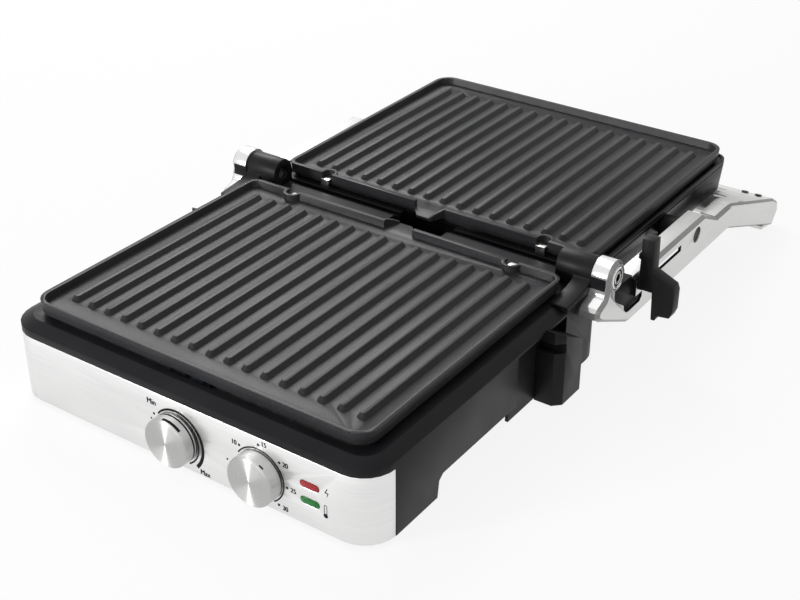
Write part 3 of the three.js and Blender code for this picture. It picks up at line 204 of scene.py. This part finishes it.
# Moulded rubber: a dull bloom and almost no highlight.
moulded_rubber = two_scales("moulded_rubber", "#191919", "#232323", 10, 0.6, 0.06, 0.82)
# Epoxy laminate of the lamp board: green, with the cloth just showing.
laminate = two_scales("laminate", "#2c5a3b", "#3d6f4b", 4, 0.8, 0.02, 0.45)
# Screen-printed ink: matt and nearly black, a little uneven in tone.
printed_ink = two_scales("printed_ink", "#0c0c0d", "#19191a", 1.5, 0.4, 0.004, 0.55, also=GRAINED)


def coated_casting_finish():
    """Die-cast aluminium under a sprayed non-stick coat: fine orange peel, with pale flecks in dark grey."""
    material, tree, shader = finish("coated_casting", 0.37, also=FILLED)
    where = place_of(tree)
    wide = grain(tree, where, 60, 3.0)
    ground = tinted(tree, spread(tree, wide, 0, 1), "#29292b", "#313133")
    share = spread(tree, grain(tree, where, 0.75, 3.0), 0, 0.3, (0.56, 0.7))
    mix = put(tree, "ShaderNodeMix", {0: share, 6: ground, 7: linear("#6d6d6f")}, data_type="RGBA")
    tree.links.new(mix.outputs[2], shader.inputs["Base Color"])
    tree.links.new(spread(tree, wide, 0.34, 0.4), shader.inputs["Roughness"])
    bumped(tree, shader, grain(tree, where, 1.1, 3.0), 0.05)
    return material


def brushed_finish(name, dark, light, roughness, stretch, pitch, depth):
    """A metal brushed along one direction: long fine scratches, drawn coarse enough to show."""
    material, tree, shader = finish(name, roughness, 1.0)
    scratches = grain(tree, place_of(tree, stretch), pitch, 4.0, 0.65)
    wide = grain(tree, place_of(tree), 90)
    shade = put(tree, "ShaderNodeMix", {0: 0.4, 2: scratches, 3: wide}, data_type="FLOAT")
    colour = tinted(tree, spread(tree, shade.outputs[0], 0, 1), dark, light)
    tree.links.new(colour, shader.inputs["Base Color"])
    tree.links.new(spread(tree, scratches, roughness - 0.04, roughness + 0.05), shader.inputs["Roughness"])
    bumped(tree, shader, scratches, depth)
    return material


# Stainless sheet, brushed lengthwise, so that the scratches run round the front and never climb.
brushed_stainless = brushed_finish(
    "brushed_stainless", "#dedede", "#e9e9e8", 0.34, (0.012, 0.012, 1), 0.7, 0.002)
# Satin-anodised aluminium of the arms: fine lines along them and a soft, wide highlight.
satin_arm = brushed_finish("satin_anodised_arm", "#cbcbca", "#d4d4d3", 0.3, (1, 0.03, 1), 0.8, 0.003)
# The wide bevel round the arm's outer face: the same lines in a darker grey, a painted dark reflection.
bevel_painted_reflection = brushed_finish("bevel_with_painted_reflection", "#777776", "#848483", 0.3, (1, 0.03, 1), 0.8, 0.003)
# The flange along the arm's top: rougher than the outer face, so that it is duller, and a darker grey: painted
# shade.
flange_painted_shade = brushed_finish("satin_anodised_flange_painted_shade", "#b4b4b3", "#bebebd", 0.5, (1, 0.03, 1), 0.8, 0.003)
# The handle bar has the finish of the arms, brushed along its own length.
satin_bar = brushed_finish("satin_anodised_bar", "#cbcbca", "#d4d4d3", 0.3, (0.03, 1, 1), 0.8, 0.003)

TURNED = "turned"
RING_SPAN = 40  # millimetres of radius to one unit of the rings' pattern
GROOVES = 55.0  # in one span, drawn coarser than the tool leaves them, so that they show


def spun_finish():
    """Aluminium turned on a lathe: fine rings round the axis, which draw a highlight out into a streak."""
    turned_metal = {"Anisotropic": 0.95, "Anisotropic Rotation": 0.25}
    material, tree, shader = finish("turned_aluminium", 0.44, 1.0, turned_metal)
    rings = put(tree, "ShaderNodeUVMap", uv_map=TURNED)
    parts = put(tree, "ShaderNodeSeparateXYZ", {"Vector": rings.outputs["UV"]})
    radius = put(tree, "ShaderNodeCombineXYZ", {"X": parts.outputs["Y"]})
    rings_cut = {"Vector": radius.outputs["Vector"], "Scale": GROOVES, "Detail": 3.0}
    groove = put(tree, "ShaderNodeTexNoise", rings_cut).outputs["Fac"]
    colour = tinted(tree, spread(tree, groove, 0, 1), "#bcbcbb", "#cbcbca")
    tree.links.new(colour, shader.inputs["Base Color"])
    tree.links.new(spread(tree, groove, 0.4, 0.48), shader.inputs["Roughness"])
    along = put(tree, "ShaderNodeTangent", direction_type="UV_MAP", uv_map=TURNED)
    tree.links.new(along.outputs["Tangent"], shader.inputs["Tangent"])
    bumped(tree, shader, groove, 0.008)
    return material


PRISM = 0.9  # millimetres across one of the lenses' prisms


def lens_finish(name, dark, light):
    """A tinted lens with a moulded grid of tiny prisms behind its clear face."""
    material, tree, shader = finish(name, 0.22, also={"Coat Weight": 0.2, "Specular IOR Level": 0.3})
    cells = {"Vector": place_of(tree), "Scale": 1 / (PRISM * MM)}
    prisms = put(tree, "ShaderNodeTexVoronoi", cells).outputs["Distance"]
    colour = tinted(tree, spread(tree, prisms, 0, 1, (0.1, 0.6)), light, dark)
    tree.links.new(colour, shader.inputs["Base Color"])
    bumped(tree, shader, prisms, 0.05)
    return material


coated_casting = coated_casting_finish()
turned_aluminium = spun_finish()
red_lens = lens_finish("tinted_red_lens", "#860f18", "#b3222b")
green_lens = lens_finish("tinted_green_lens", "#045c1c", "#128a30")


# Shapes.

MERGE = 0.004  # vertices closer than this, in millimetres, become one
FLAT = math.radians(0.4)  # faces that turn less than this become one
SHARP = math.radians(24)  # edges that turn more than this are rounded
SMOOTH_LIMIT = math.radians(38)  # edges that turn less than this are shaded smooth
ROUNDING_STEPS = 2
HINGE_Y = 245.5
HINGE_Z = 1.5
ARM_OUTER = 181.5


def cad_copy(node):
    """The node's solid as one closed mesh, with its flat faces whole again."""
    form = bmesh.new()
    form.from_mesh(frame["nodes"][node].data)
    bmesh.ops.remove_doubles(form, verts=form.verts, dist=MERGE * MM)
    bmesh.ops.dissolve_limit(form, angle_limit=FLAT, verts=form.verts, edges=form.edges)
    return form


def soften(form, width):
    """Rounds every sharp edge, as a mould or a finishing wheel does."""
    edges = [e for e in form.edges if len(e.link_faces) == 2 and e.calc_face_angle(0) > SHARP]
    bmesh.ops.bevel(form, geom=edges, offset=width * MM, offset_type="OFFSET", segments=ROUNDING_STEPS,
                    profile=0.5, affect="EDGES", material=-1, clamp_overlap=True)


def drawn(place):
    """A place in the part's frame as millimetres from the drawing's zero, with both sides' x made positive."""
    own = (place - ZERO) / MM
    return Vector((abs(own.x), own.y, own.z))


def piece(name, form, materials, body, replaced=()):
    """Makes an object of a finished form, which rides on a body."""
    mesh = bpy.data.meshes.new(name)
    form.to_mesh(mesh)
    form.free()
    for material in materials:
        mesh.materials.append(material)
    mesh.shade_smooth()
    mesh.set_sharp_from_angle(angle=SMOOTH_LIMIT)
    made = bpy.data.objects.new(name, mesh)
    bpy.context.collection.objects.link(made)
    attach(made, body)
    if replaced:
        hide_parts(*replaced)


BODY_OF = {node: body for body, nodes in frame["record"]["behaviour"]["bodies"].items() for node in nodes}

# Nodes whose form is kept and whose edges are rounded, with the width of the rounding and the finish.
SOFTENED = {
    "base_shell": (0.8, moulded_abs),
    "front_panel": (0.3, brushed_stainless),
    "base_bottom_cover": (0.5, moulded_abs),
    "lower_plate": (0.5, coated_casting),
    "upper_plate": (0.5, coated_casting),
    "lower_reflector": (0.2, pressed_steel),
    "upper_reflector": (0.2, pressed_steel),
    "lower_hook_left": (0.2, plated_strip),
    "lower_hook_right": (0.2, plated_strip),
    "upper_hook_left": (0.2, plated_strip),
    "upper_hook_right": (0.2, plated_strip),
    "hinge_post_right": (1.2, moulded_phenolic),
    "hinge_post_left": (1.2, moulded_phenolic),
    "lock_keeper": (0.8, moulded_nylon),
    "rear_leg_left": (0.8, moulded_nylon),
    "drip_tray": (0.5, moulded_abs),
    "cord_gland": (0.5, moulded_rubber),
    "window_cover_right": (0.4, moulded_phenolic),
    "window_cover_left": (0.4, moulded_phenolic),
    "handle_bar": (0.8, satin_bar),
    "lock_slider": (0.9, moulded_nylon),
    "lid_frame": (0.6, moulded_abs),
    "lid_cover": (1.2, lacquered_abs),
    "pivot_collar_right": (0.5, moulded_abs),
    "pivot_collar_left": (0.5, moulded_abs),
    "power_lens": (0.3, red_lens),
    "ready_lens": (0.3, green_lens),
}
for node, (width, material) in SOFTENED.items():
    form = cad_copy(node)
    soften(form, width)
    piece(node + "_form", form, [material], BODY_OF[node], [node])

# Nodes that keep their own mesh.
KEPT = {
    "foot_front_left": moulded_rubber,
    "foot_front_right": moulded_rubber,
    "foot_rear_left": moulded_rubber,
    "foot_rear_right": moulded_rubber,
    "lower_heating_element": heated_sheath,
    "upper_heating_element": heated_sheath,
    "lower_plate_spring": blued_spring,
    "upper_plate_spring": blued_spring,
    "thermostat": moulded_abs,
    "timer": moulded_abs,
    "thermostat_shaft": plated_strip,
    "timer_shaft": plated_strip,
    "lamp_board": laminate,
    "hinge_pin_right": plated_strip,
    "hinge_pin_left": plated_strip,
    "lid_pivot_right": blackened_steel,
    "lid_pivot_left": blackened_steel,
    "handle_screw_right_outer": blackened_steel,
    "handle_screw_right_inner": blackened_steel,
    "handle_screw_left_outer": blackened_steel,
    "handle_screw_left_inner": blackened_steel,
}
for node, material in KEPT.items():
    solid = frame["nodes"][node]
    if not solid.material_slots:
        solid.data.materials.append(material)
    for holder in solid.material_slots:
        holder.material = material


# The arms: satin outside, with a painted dark reflection on the bevel round the face, and polished round the
# cap and the neck. A black band across the waist between the two stands for the black plastic in the hollow
# there and the painted shade inside it. The flange's upward faces are painted a darker grey, a painted shade.
# The walls of the window and the slot are painted black too: painted shade inside them.

ARM_ROUNDING = 0.5
OUTWARD = 0.6  # a face that looks to the side more than this belongs to a flat side, not to the rim
UPWARD = 0.9
# the black band across the neck's waist: the black plastic behind the hollow there, and painted shade inside it
SHADED_WAIST = (-5.5, 3.7)
SHADED_WAIST_OUTER = 178.2
SHADED_WAIST_REAR = HINGE_Y - 6
# the bevel round the outer face, which takes the painted dark reflection
BEVEL_DEPTH = 3.2
BEVEL_SLANT = (0.5, 0.9)
# the walls of the window and the slot, which are painted black: painted shade inside them
WALL_DEPTH = 3
SLOT = (282, 359.5)
SLOT_LEVEL = (-26.7, -20.7)
POLISHED_REAR = 262
POLISHED_LOW = -29
WINDOW_FRONT = HINGE_Y - 8
WINDOW_MIDDLE = (262, -22)
WINDOW_REACH = 34
CUT_THROUGH = 0.001
SATIN, POLISHED, BLACK_SHADE, BEVEL_REFLECTION, FLANGE_SHADE = range(5)
ARM_FINISHES = [satin_arm, plated_zinc, moulded_abs, bevel_painted_reflection, flange_painted_shade]


def arm_finish(face, side):
    """Which of the arm's finishes a face has, with its painted shade and painted dark reflection."""
    middle = drawn(face.calc_center_median())
    rim = abs(face.normal.x) < OUTWARD
    polished = rim and middle.y < POLISHED_REAR and middle.z > POLISHED_LOW
    # the waist band: the black plastic in the hollow, and painted shade
    if polished and middle.y < SHADED_WAIST_REAR and SHADED_WAIST[0] < middle.z < SHADED_WAIST[1] and middle.x < SHADED_WAIST_OUTER:
        return BLACK_SHADE
    # the slot's walls, painted black: painted shade inside the slot
    if rim and SLOT[0] < middle.y < SLOT[1] and SLOT_LEVEL[0] < middle.z < SLOT_LEVEL[1]:
        return BLACK_SHADE
    # the window's walls, painted black: painted shade inside the window
    inward = Vector((0, WINDOW_MIDDLE[0] - middle.y, WINDOW_MIDDLE[1] - middle.z))
    faces_in = inward.length < WINDOW_REACH and inward.dot(face.normal) > 0
    in_wall = middle.x > ARM_OUTER - WALL_DEPTH and middle.y > WINDOW_FRONT and middle.z < 0
    if rim and faces_in and in_wall:
        return BLACK_SHADE
    # the bevel: a painted dark reflection
    if BEVEL_SLANT[0] < side * face.normal.x < BEVEL_SLANT[1] and middle.x > ARM_OUTER - BEVEL_DEPTH:
        return BEVEL_REFLECTION
    if polished:
        return POLISHED
    # upward faces get the flange's darker grey: painted shade
    return FLANGE_SHADE if face.normal.z > UPWARD else SATIN


def arm_form(node, side):
    """An arm with its finishes and painted shade set face by face, after the waist band's borders are cut into
    it.
    """
    form = cad_copy(node)
    soften(form, ARM_ROUNDING)
    cuts = [(at(0, 0, z), (0, 0, 1)) for z in SHADED_WAIST] + [(at(side * SHADED_WAIST_OUTER, 0, 0), (1, 0, 0))]
    for place, square in cuts:
        near = [f for f in form.faces if drawn(f.calc_center_median()).y < HINGE_Y]
        geom = near + list({e for f in near for e in f.edges}) + list({v for f in near for v in f.verts})
        bmesh.ops.bisect_plane(form, geom=geom, dist=CUT_THROUGH * MM, plane_co=place, plane_no=square)
    for face in form.faces:
        face.material_index = arm_finish(face, side)
    piece(node + "_form", form, ARM_FINISHES, "arms", [node])


arm_form("right_arm", 1)
arm_form("left_arm", -1)

SPIN_MERGE = 0.002
AXIS_REACH = 0.1  # within this many millimetres of the axis a vertex has no turn of its own


def turned_form(profile, steps):
    """A profile of radius and height in millimetres, spun about its axis, with the turn as the UV's x."""
    form = bmesh.new()
    verts = [form.verts.new((r * MM, 0, h * MM)) for r, h in profile]
    edges = [form.edges.new(pair) for pair in zip(verts, verts[1:])]
    bmesh.ops.spin(form, geom=verts + edges, cent=(0, 0, 0), axis=(0, 0, 1), angle=math.tau, steps=steps,
                   use_merge=True)
    bmesh.ops.remove_doubles(form, verts=form.verts, dist=SPIN_MERGE * MM)
    bmesh.ops.recalc_face_normals(form, faces=form.faces)
    layer = form.loops.layers.uv.new(TURNED)
    for face in form.faces:
        middle = face.calc_center_median()
        centre_turn = math.atan2(middle.y, middle.x) / math.tau
        for loop in face.loops:
            radius = math.hypot(loop.vert.co.x, loop.vert.co.y)
            turn = centre_turn
            if radius > AXIS_REACH * MM:
                turn = math.atan2(loop.vert.co.y, loop.vert.co.x) / math.tau
                turn += round(centre_turn - turn)
            loop[layer].uv = (turn, (radius + loop.vert.co.z) / MM / RING_SPAN)
    return form


# The hinge screws: a polished ring, a dark groove inside it and a raised middle with its socket.
SCREW_PROFILE = [
    (0, -1.5), (2.9, -1.5), (3.1, 0.1), (3.3, 0.25), (4.9, 0.25), (5.1, 0.1), (5.2, -0.9), (6.3, -0.9),
    (6.4, 0.2), (6.7, 0.45), (8.3, 0.45), (8.75, 0.1), (8.85, -0.4), (8.85, -2.9), (0, -2.9),
]
SCREW_STEPS = 56
SCREW_GROOVE = (5.1, 6.4)
SCREW_SOCKET = 3.05
SCREW_BACK = -2
for node, side in (("hinge_screw_right", 1), ("hinge_screw_left", -1)):
    form = turned_form(SCREW_PROFILE, SCREW_STEPS)
    for face in form.faces:
        middle = face.calc_center_median() / MM
        radius = math.hypot(middle.x, middle.y)
        sunk = SCREW_GROOVE[0] < radius < SCREW_GROOVE[1] or radius < SCREW_SOCKET
        face.material_index = int(sunk and middle.z > SCREW_BACK)
    turn = Matrix.Rotation(math.radians(90 * side), 4, "Y")
    place = Matrix.Translation(at(side * ARM_OUTER, HINGE_Y, HINGE_Z)) @ turn
    bmesh.ops.transform(form, matrix=place, verts=form.verts)
    piece(node + "_form", form, [plated_zinc, blackened_steel], "arms", [node])


# Knobs: turned caps with a black mark on their sides, and on one a black ring round its foot.

KNOB_PROFILE = [
    (0, 10.35), (12, 10.33), (16.2, 10.3), (16.9, 10.42), (17.5, 10.45), (18.0, 10.3), (18.4, 9.95),
    (18.65, 9.4), (18.75, 8.9), (18.8, 7.6), (18.82, 6.6), (18.9, 2.8), (18.93, 1.5), (18.95, 1.2),
    (18.8, 1.0), (18.3, 0.9), (18.75, 0.8), (18.85, 0.6), (18.85, 0.3), (18.6, 0.05),
    (16.85, 0.05), (16.85, 8.2), (6.45, 8.25), (6.45, 0.1), (3.35, 0.1), (3.35, 6.25), (0, 6.25),
]
KNOB_STEPS = 96
SIDE_RADIUS = 18
MARK_TOP = 8.9
RING = (1.5, 2.8)
BORE_RADIUS = 16.9
BORE_TOP = 9
BARE, BORE, MARKED = range(3)
KNOB_FINISHES = [turned_aluminium, moulded_abs, printed_ink]
CONTROL_DEPTH = -50.3
PANEL_FACE = -36.9
KNOB_GAP = 0.9
TEMPERATURE_X = -1.6
TIMER_X = 71.6


def knob(name, x, body, node, mark, mark_low, ringed):
    """A knob whose mark runs round its side between two angles in degrees, above a height in millimetres."""
    form = turned_form(KNOB_PROFILE, KNOB_STEPS)
    for face in form.faces:
        middle = face.calc_center_median() / MM
        angle = math.degrees(math.atan2(middle.y, middle.x))
        radius = math.hypot(middle.x, middle.y)
        marked = mark[0] < angle < mark[1] and mark_low < middle.z < MARK_TOP
        ring = ringed and RING[0] < middle.z < RING[1]
        inside = radius < BORE_RADIUS and middle.z < BORE_TOP
        if radius > SIDE_RADIUS and (marked or ring):
            face.material_index = MARKED
        else:
            face.material_index = BORE if inside else BARE
    upright = Matrix.Rotation(math.radians(90), 4, "X")
    place = Matrix.Translation(at(x, PANEL_FACE - KNOB_GAP, CONTROL_DEPTH)) @ upright
    bmesh.ops.transform(form, matrix=place, verts=form.verts)
    piece(name, form, KNOB_FINISHES, body, [node])


knob("temperature_knob_form", TEMPERATURE_X, "temperature_control", "temperature_knob", (50, 98), 6.6, True)
knob("timer_knob_form", TIMER_X, "timer_control", "timer_knob", (52, 62), 7.6, False)


# The print on the panel: three arcs, the scales' dots and numbers, and the signs beside the lamps.

print_form = bmesh.new()
INK = 0.05
BOLD = 0.22
NARROW = 0.86
WELD = 0.001
ARC_STEPS = 48
DOT_SIDES = 20


def printed(make):
    """Adds a flat shape, made in the panel's plane, to the print, and gives it the ink's thickness."""
    flat = bmesh.new()
    make(flat)
    bmesh.ops.recalc_face_normals(flat, faces=flat.faces)
    if flat.faces and sum(f.normal.y for f in flat.faces) > 0:
        bmesh.ops.reverse_faces(flat, faces=flat.faces)
    grown = bmesh.ops.extrude_face_region(flat, geom=list(flat.faces))["geom"]
    front = [v for v in grown if isinstance(v, bmesh.types.BMVert)]
    bmesh.ops.translate(flat, vec=(0, -INK * MM, 0), verts=front)
    bmesh.ops.recalc_face_normals(flat, faces=flat.faces)
    carrier = bpy.data.meshes.new("carrier")
    flat.to_mesh(carrier)
    flat.free()
    print_form.from_mesh(carrier)
    bpy.data.meshes.remove(carrier)


def arc(x, z, start, end, first, last):
    """An arc run clockwise between two angles in degrees, with its inner and outer radius at each end."""
    def make(flat):
        centre = at(x, PANEL_FACE, z)
        pair = [flat.verts.new(centre + Vector((radius * MM, 0, 0))) for radius in first]
        middle = sum(first) / 2
        edge = flat.edges.new(pair)
        turn = Matrix.Rotation(math.radians(-start), 3, "Y")
        bmesh.ops.rotate(flat, cent=centre, matrix=turn, verts=flat.verts)
        bmesh.ops.spin(flat, geom=pair + [edge], cent=centre, axis=(0, 1, 0), angle=math.radians(start - end),
                       steps=ARC_STEPS)
        for vert in flat.verts:
            away = vert.co - centre
            share = (start - math.degrees(math.atan2(away.z, away.x))) / (start - end)
            side = int(away.length > middle * MM)
            vert.co = centre + away.normalized() * (first[side] + share * (last[side] - first[side])) * MM
    printed(make)


def dot(x, z, radius):
    """A round dot with its radius in millimetres."""
    def make(flat):
        bmesh.ops.create_circle(flat, cap_ends=True, segments=DOT_SIDES, radius=radius * MM)
        place = Matrix.Translation(at(x, PANEL_FACE, z)) @ Matrix.Rotation(math.radians(90), 4, "X")
        bmesh.ops.transform(flat, matrix=place, verts=flat.verts)
    printed(make)


def outline(points, x, z):
    """A filled shape from its corners in millimetres."""
    def make(flat):
        flat.faces.new([flat.verts.new(at(x + a, PANEL_FACE, z + b)) for a, b in points])
        flat.normal_update()
        bmesh.ops.triangulate(flat, faces=flat.faces)
    printed(make)


def words(text, x, z, size):
    """A word or a number, centred on its place, and printed three times side by side for bold strokes."""
    curve = bpy.data.curves.new("words", "FONT")
    curve.body, curve.size, curve.align_x, curve.align_y = text, size * MM, "CENTER", "CENTER"
    holder = bpy.data.objects.new("words", curve)
    bpy.context.collection.objects.link(holder)
    mesh = bpy.data.meshes.new_from_object(holder.evaluated_get(bpy.context.evaluated_depsgraph_get()))
    bpy.data.objects.remove(holder)

    for shift in (-BOLD, 0, BOLD):
        def make(flat):
            flat.from_mesh(mesh)
            upright = Matrix.Rotation(math.radians(90), 4, "X") @ Matrix.Diagonal((NARROW, 1, 1, 1))
            place = Matrix.Translation(at(x + shift, PANEL_FACE, z)) @ upright
            bmesh.ops.transform(flat, matrix=place, verts=flat.verts)
            bmesh.ops.remove_doubles(flat, verts=flat.verts, dist=WELD * MM)
        printed(make)
    bpy.data.meshes.remove(mesh)


arc(TEMPERATURE_X, CONTROL_DEPTH, 139, -46, (19.3, 20.7), (23.7, 26.5))
arc(TEMPERATURE_X, CONTROL_DEPTH, 82, -60, (19.2, 19.9), (20.2, 21.5))
arc(TIMER_X, CONTROL_DEPTH, 148, -56, (20.0, 21.1), (19.7, 20.8))

SCALE_DOTS = [
    (-20.7, -38.8, 1.0), (-23.7, -43.7, 0.75), (55.4, -33.2, 1.05), (71.9, -26.3, 1.05), (88.9, -33.3, 1.05),
    (94.5, -50.9, 1.05), (86.9, -68.2, 1.05), (44.1, -49.4, 0.8),
]
for x, z, radius in SCALE_DOTS:
    dot(x, z, radius)

SCALE_WORDS = [
    ("Min", -22.2, -29.7, 6.6), ("Max", 22.8, -71.0, 6.0), ("10", 51.0, -32.6, 5.4), ("15", 76.6, -24.6, 5.4),
    ("20", 93.8, -33.6, 5.4), ("25", 99.6, -51.4, 5.4), ("30", 92.2, -69.3, 5.4),
]
for text, x, z, size in SCALE_WORDS:
    words(text, x, z, size)

LIGHTNING = [(0.9, 3.6), (0.2, 3.6), (-1.9, -0.35), (0.45, -0.35), (-0.1, -3.7), (1.6, 0.4), (-0.7, 0.4)]
LIGHTNING_PLACE = (126.9, -40.9)
outline(LIGHTNING, *LIGHTNING_PLACE)

THERMOMETER_PLACE = (125.6, -55.6)
TUBE_TOP = 3.6
TUBE_OUTER = 1.25
TUBE_INNER = 0.75
BULB = -3.9
BULB_RADIUS = 1.75
TUBE_FOOT = BULB + 1.2
TOP_STEPS = 10


def tube_end(radius):
    """A wall of the thermometer's tube, from its foot on the right over its round top to the left."""
    turns = [math.pi * step / TOP_STEPS for step in range(TOP_STEPS + 1)]
    over = [(radius * math.cos(a), TUBE_TOP + radius * math.sin(a)) for a in turns]
    return [(radius, TUBE_FOOT)] + over + [(-radius, TUBE_FOOT)]


outline(tube_end(TUBE_OUTER) + tube_end(TUBE_INNER)[::-1], *THERMOMETER_PLACE)
dot(THERMOMETER_PLACE[0], THERMOMETER_PLACE[1] + BULB, BULB_RADIUS)
piece("panel_print", print_form, [printed_ink], "base")


# The floor, the light and the room.

def seen_afar(tree):
    """One where the camera, a mirror or a glass looks, and nought for light on its way to the object."""
    path = put(tree, "ShaderNodeLightPath")
    either = {0: path.outputs["Is Camera Ray"], 1: path.outputs["Is Glossy Ray"]}
    first = put(tree, "ShaderNodeMath", either, operation="MAXIMUM")
    both = {0: first.outputs[0], 1: path.outputs["Is Transmission Ray"]}
    return put(tree, "ShaderNodeMath", both, operation="MAXIMUM").outputs[0]


FLOOR_REACH = 20  # metres from its middle to an edge
FLOOR_GAP = 0.2  # millimetres under the feet
FLOOR_GLOW = 0.88  # of the room's white

floor_form = bmesh.new()
bmesh.ops.create_grid(floor_form, x_segments=1, y_segments=1, size=FLOOR_REACH)
floor_mesh = bpy.data.meshes.new("floor")
floor_form.to_mesh(floor_mesh)
floor_form.free()
floor = bpy.data.objects.new("floor", floor_mesh)
bpy.context.collection.objects.link(floor)
floor.location.z = cad_low.z - FLOOR_GAP * MM

# A paper sweep: matt and nearly white. It glows a little less than the room, so that it keeps the shadow.
paper = {"Base Color": linear("#f4f4f4"), "Specular IOR Level": 0}
floor_finish, floor_tree, floor_shader = finish("matt_paper", 0.95, also=paper)
glow = put(floor_tree, "ShaderNodeEmission", {"Color": (1, 1, 1, 1), "Strength": 1.0})
share = {0: seen_afar(floor_tree), 1: FLOOR_GLOW}
mix = {0: put(floor_tree, "ShaderNodeMath", share, operation="MULTIPLY").outputs[0],
       1: floor_shader.outputs["BSDF"], 2: glow.outputs["Emission"]}
mixed = put(floor_tree, "ShaderNodeMixShader", mix)
floor_tree.links.new(mixed.outputs["Shader"], floor_tree.nodes["Material Output"].inputs["Surface"])
floor_mesh.materials.append(floor_finish)

ROOM_LIGHT = 0.25
world = bpy.data.worlds.new("studio")
bpy.context.scene.world = world
world.use_nodes = True
sky = world.node_tree
strength = spread(sky, seen_afar(sky), ROOM_LIGHT, 1.0, (0, 1))
sky.nodes["Background"].inputs["Color"].default_value = (1, 1, 1, 1)
sky.links.new(strength, sky.nodes["Background"].inputs["Strength"])


LIT_POINT = Vector((0, 0, 0.05))


def lamp(name, place, size, power):
    """A soft square lamp that looks at the grill: its place and side in metres, its power in watts."""
    data = bpy.data.lights.new(name, "AREA")
    data.shape = "SQUARE"
    data.size = size
    data.energy = power
    made = bpy.data.objects.new(name, data)
    bpy.context.collection.objects.link(made)
    made.location = Vector(place)
    made.rotation_mode = "QUATERNION"
    made.rotation_quaternion = (LIT_POINT - Vector(place)).to_track_quat("-Z", "Y")


lamp("overhead", (-0.3, 0.2, 1.6), 1.4, 4)
lamp("behind_left", (-1.3, 1.1, 1.45), 1.0, 26)
lamp("front_left", (-0.8, -1.57, 0.45), 0.3, 16)
lamp("front_fill", (0.2, -1.7, 0.7), 1.2, 6)
lamp("right_fill", (1.6, -0.5, 0.9), 1.0, 1)
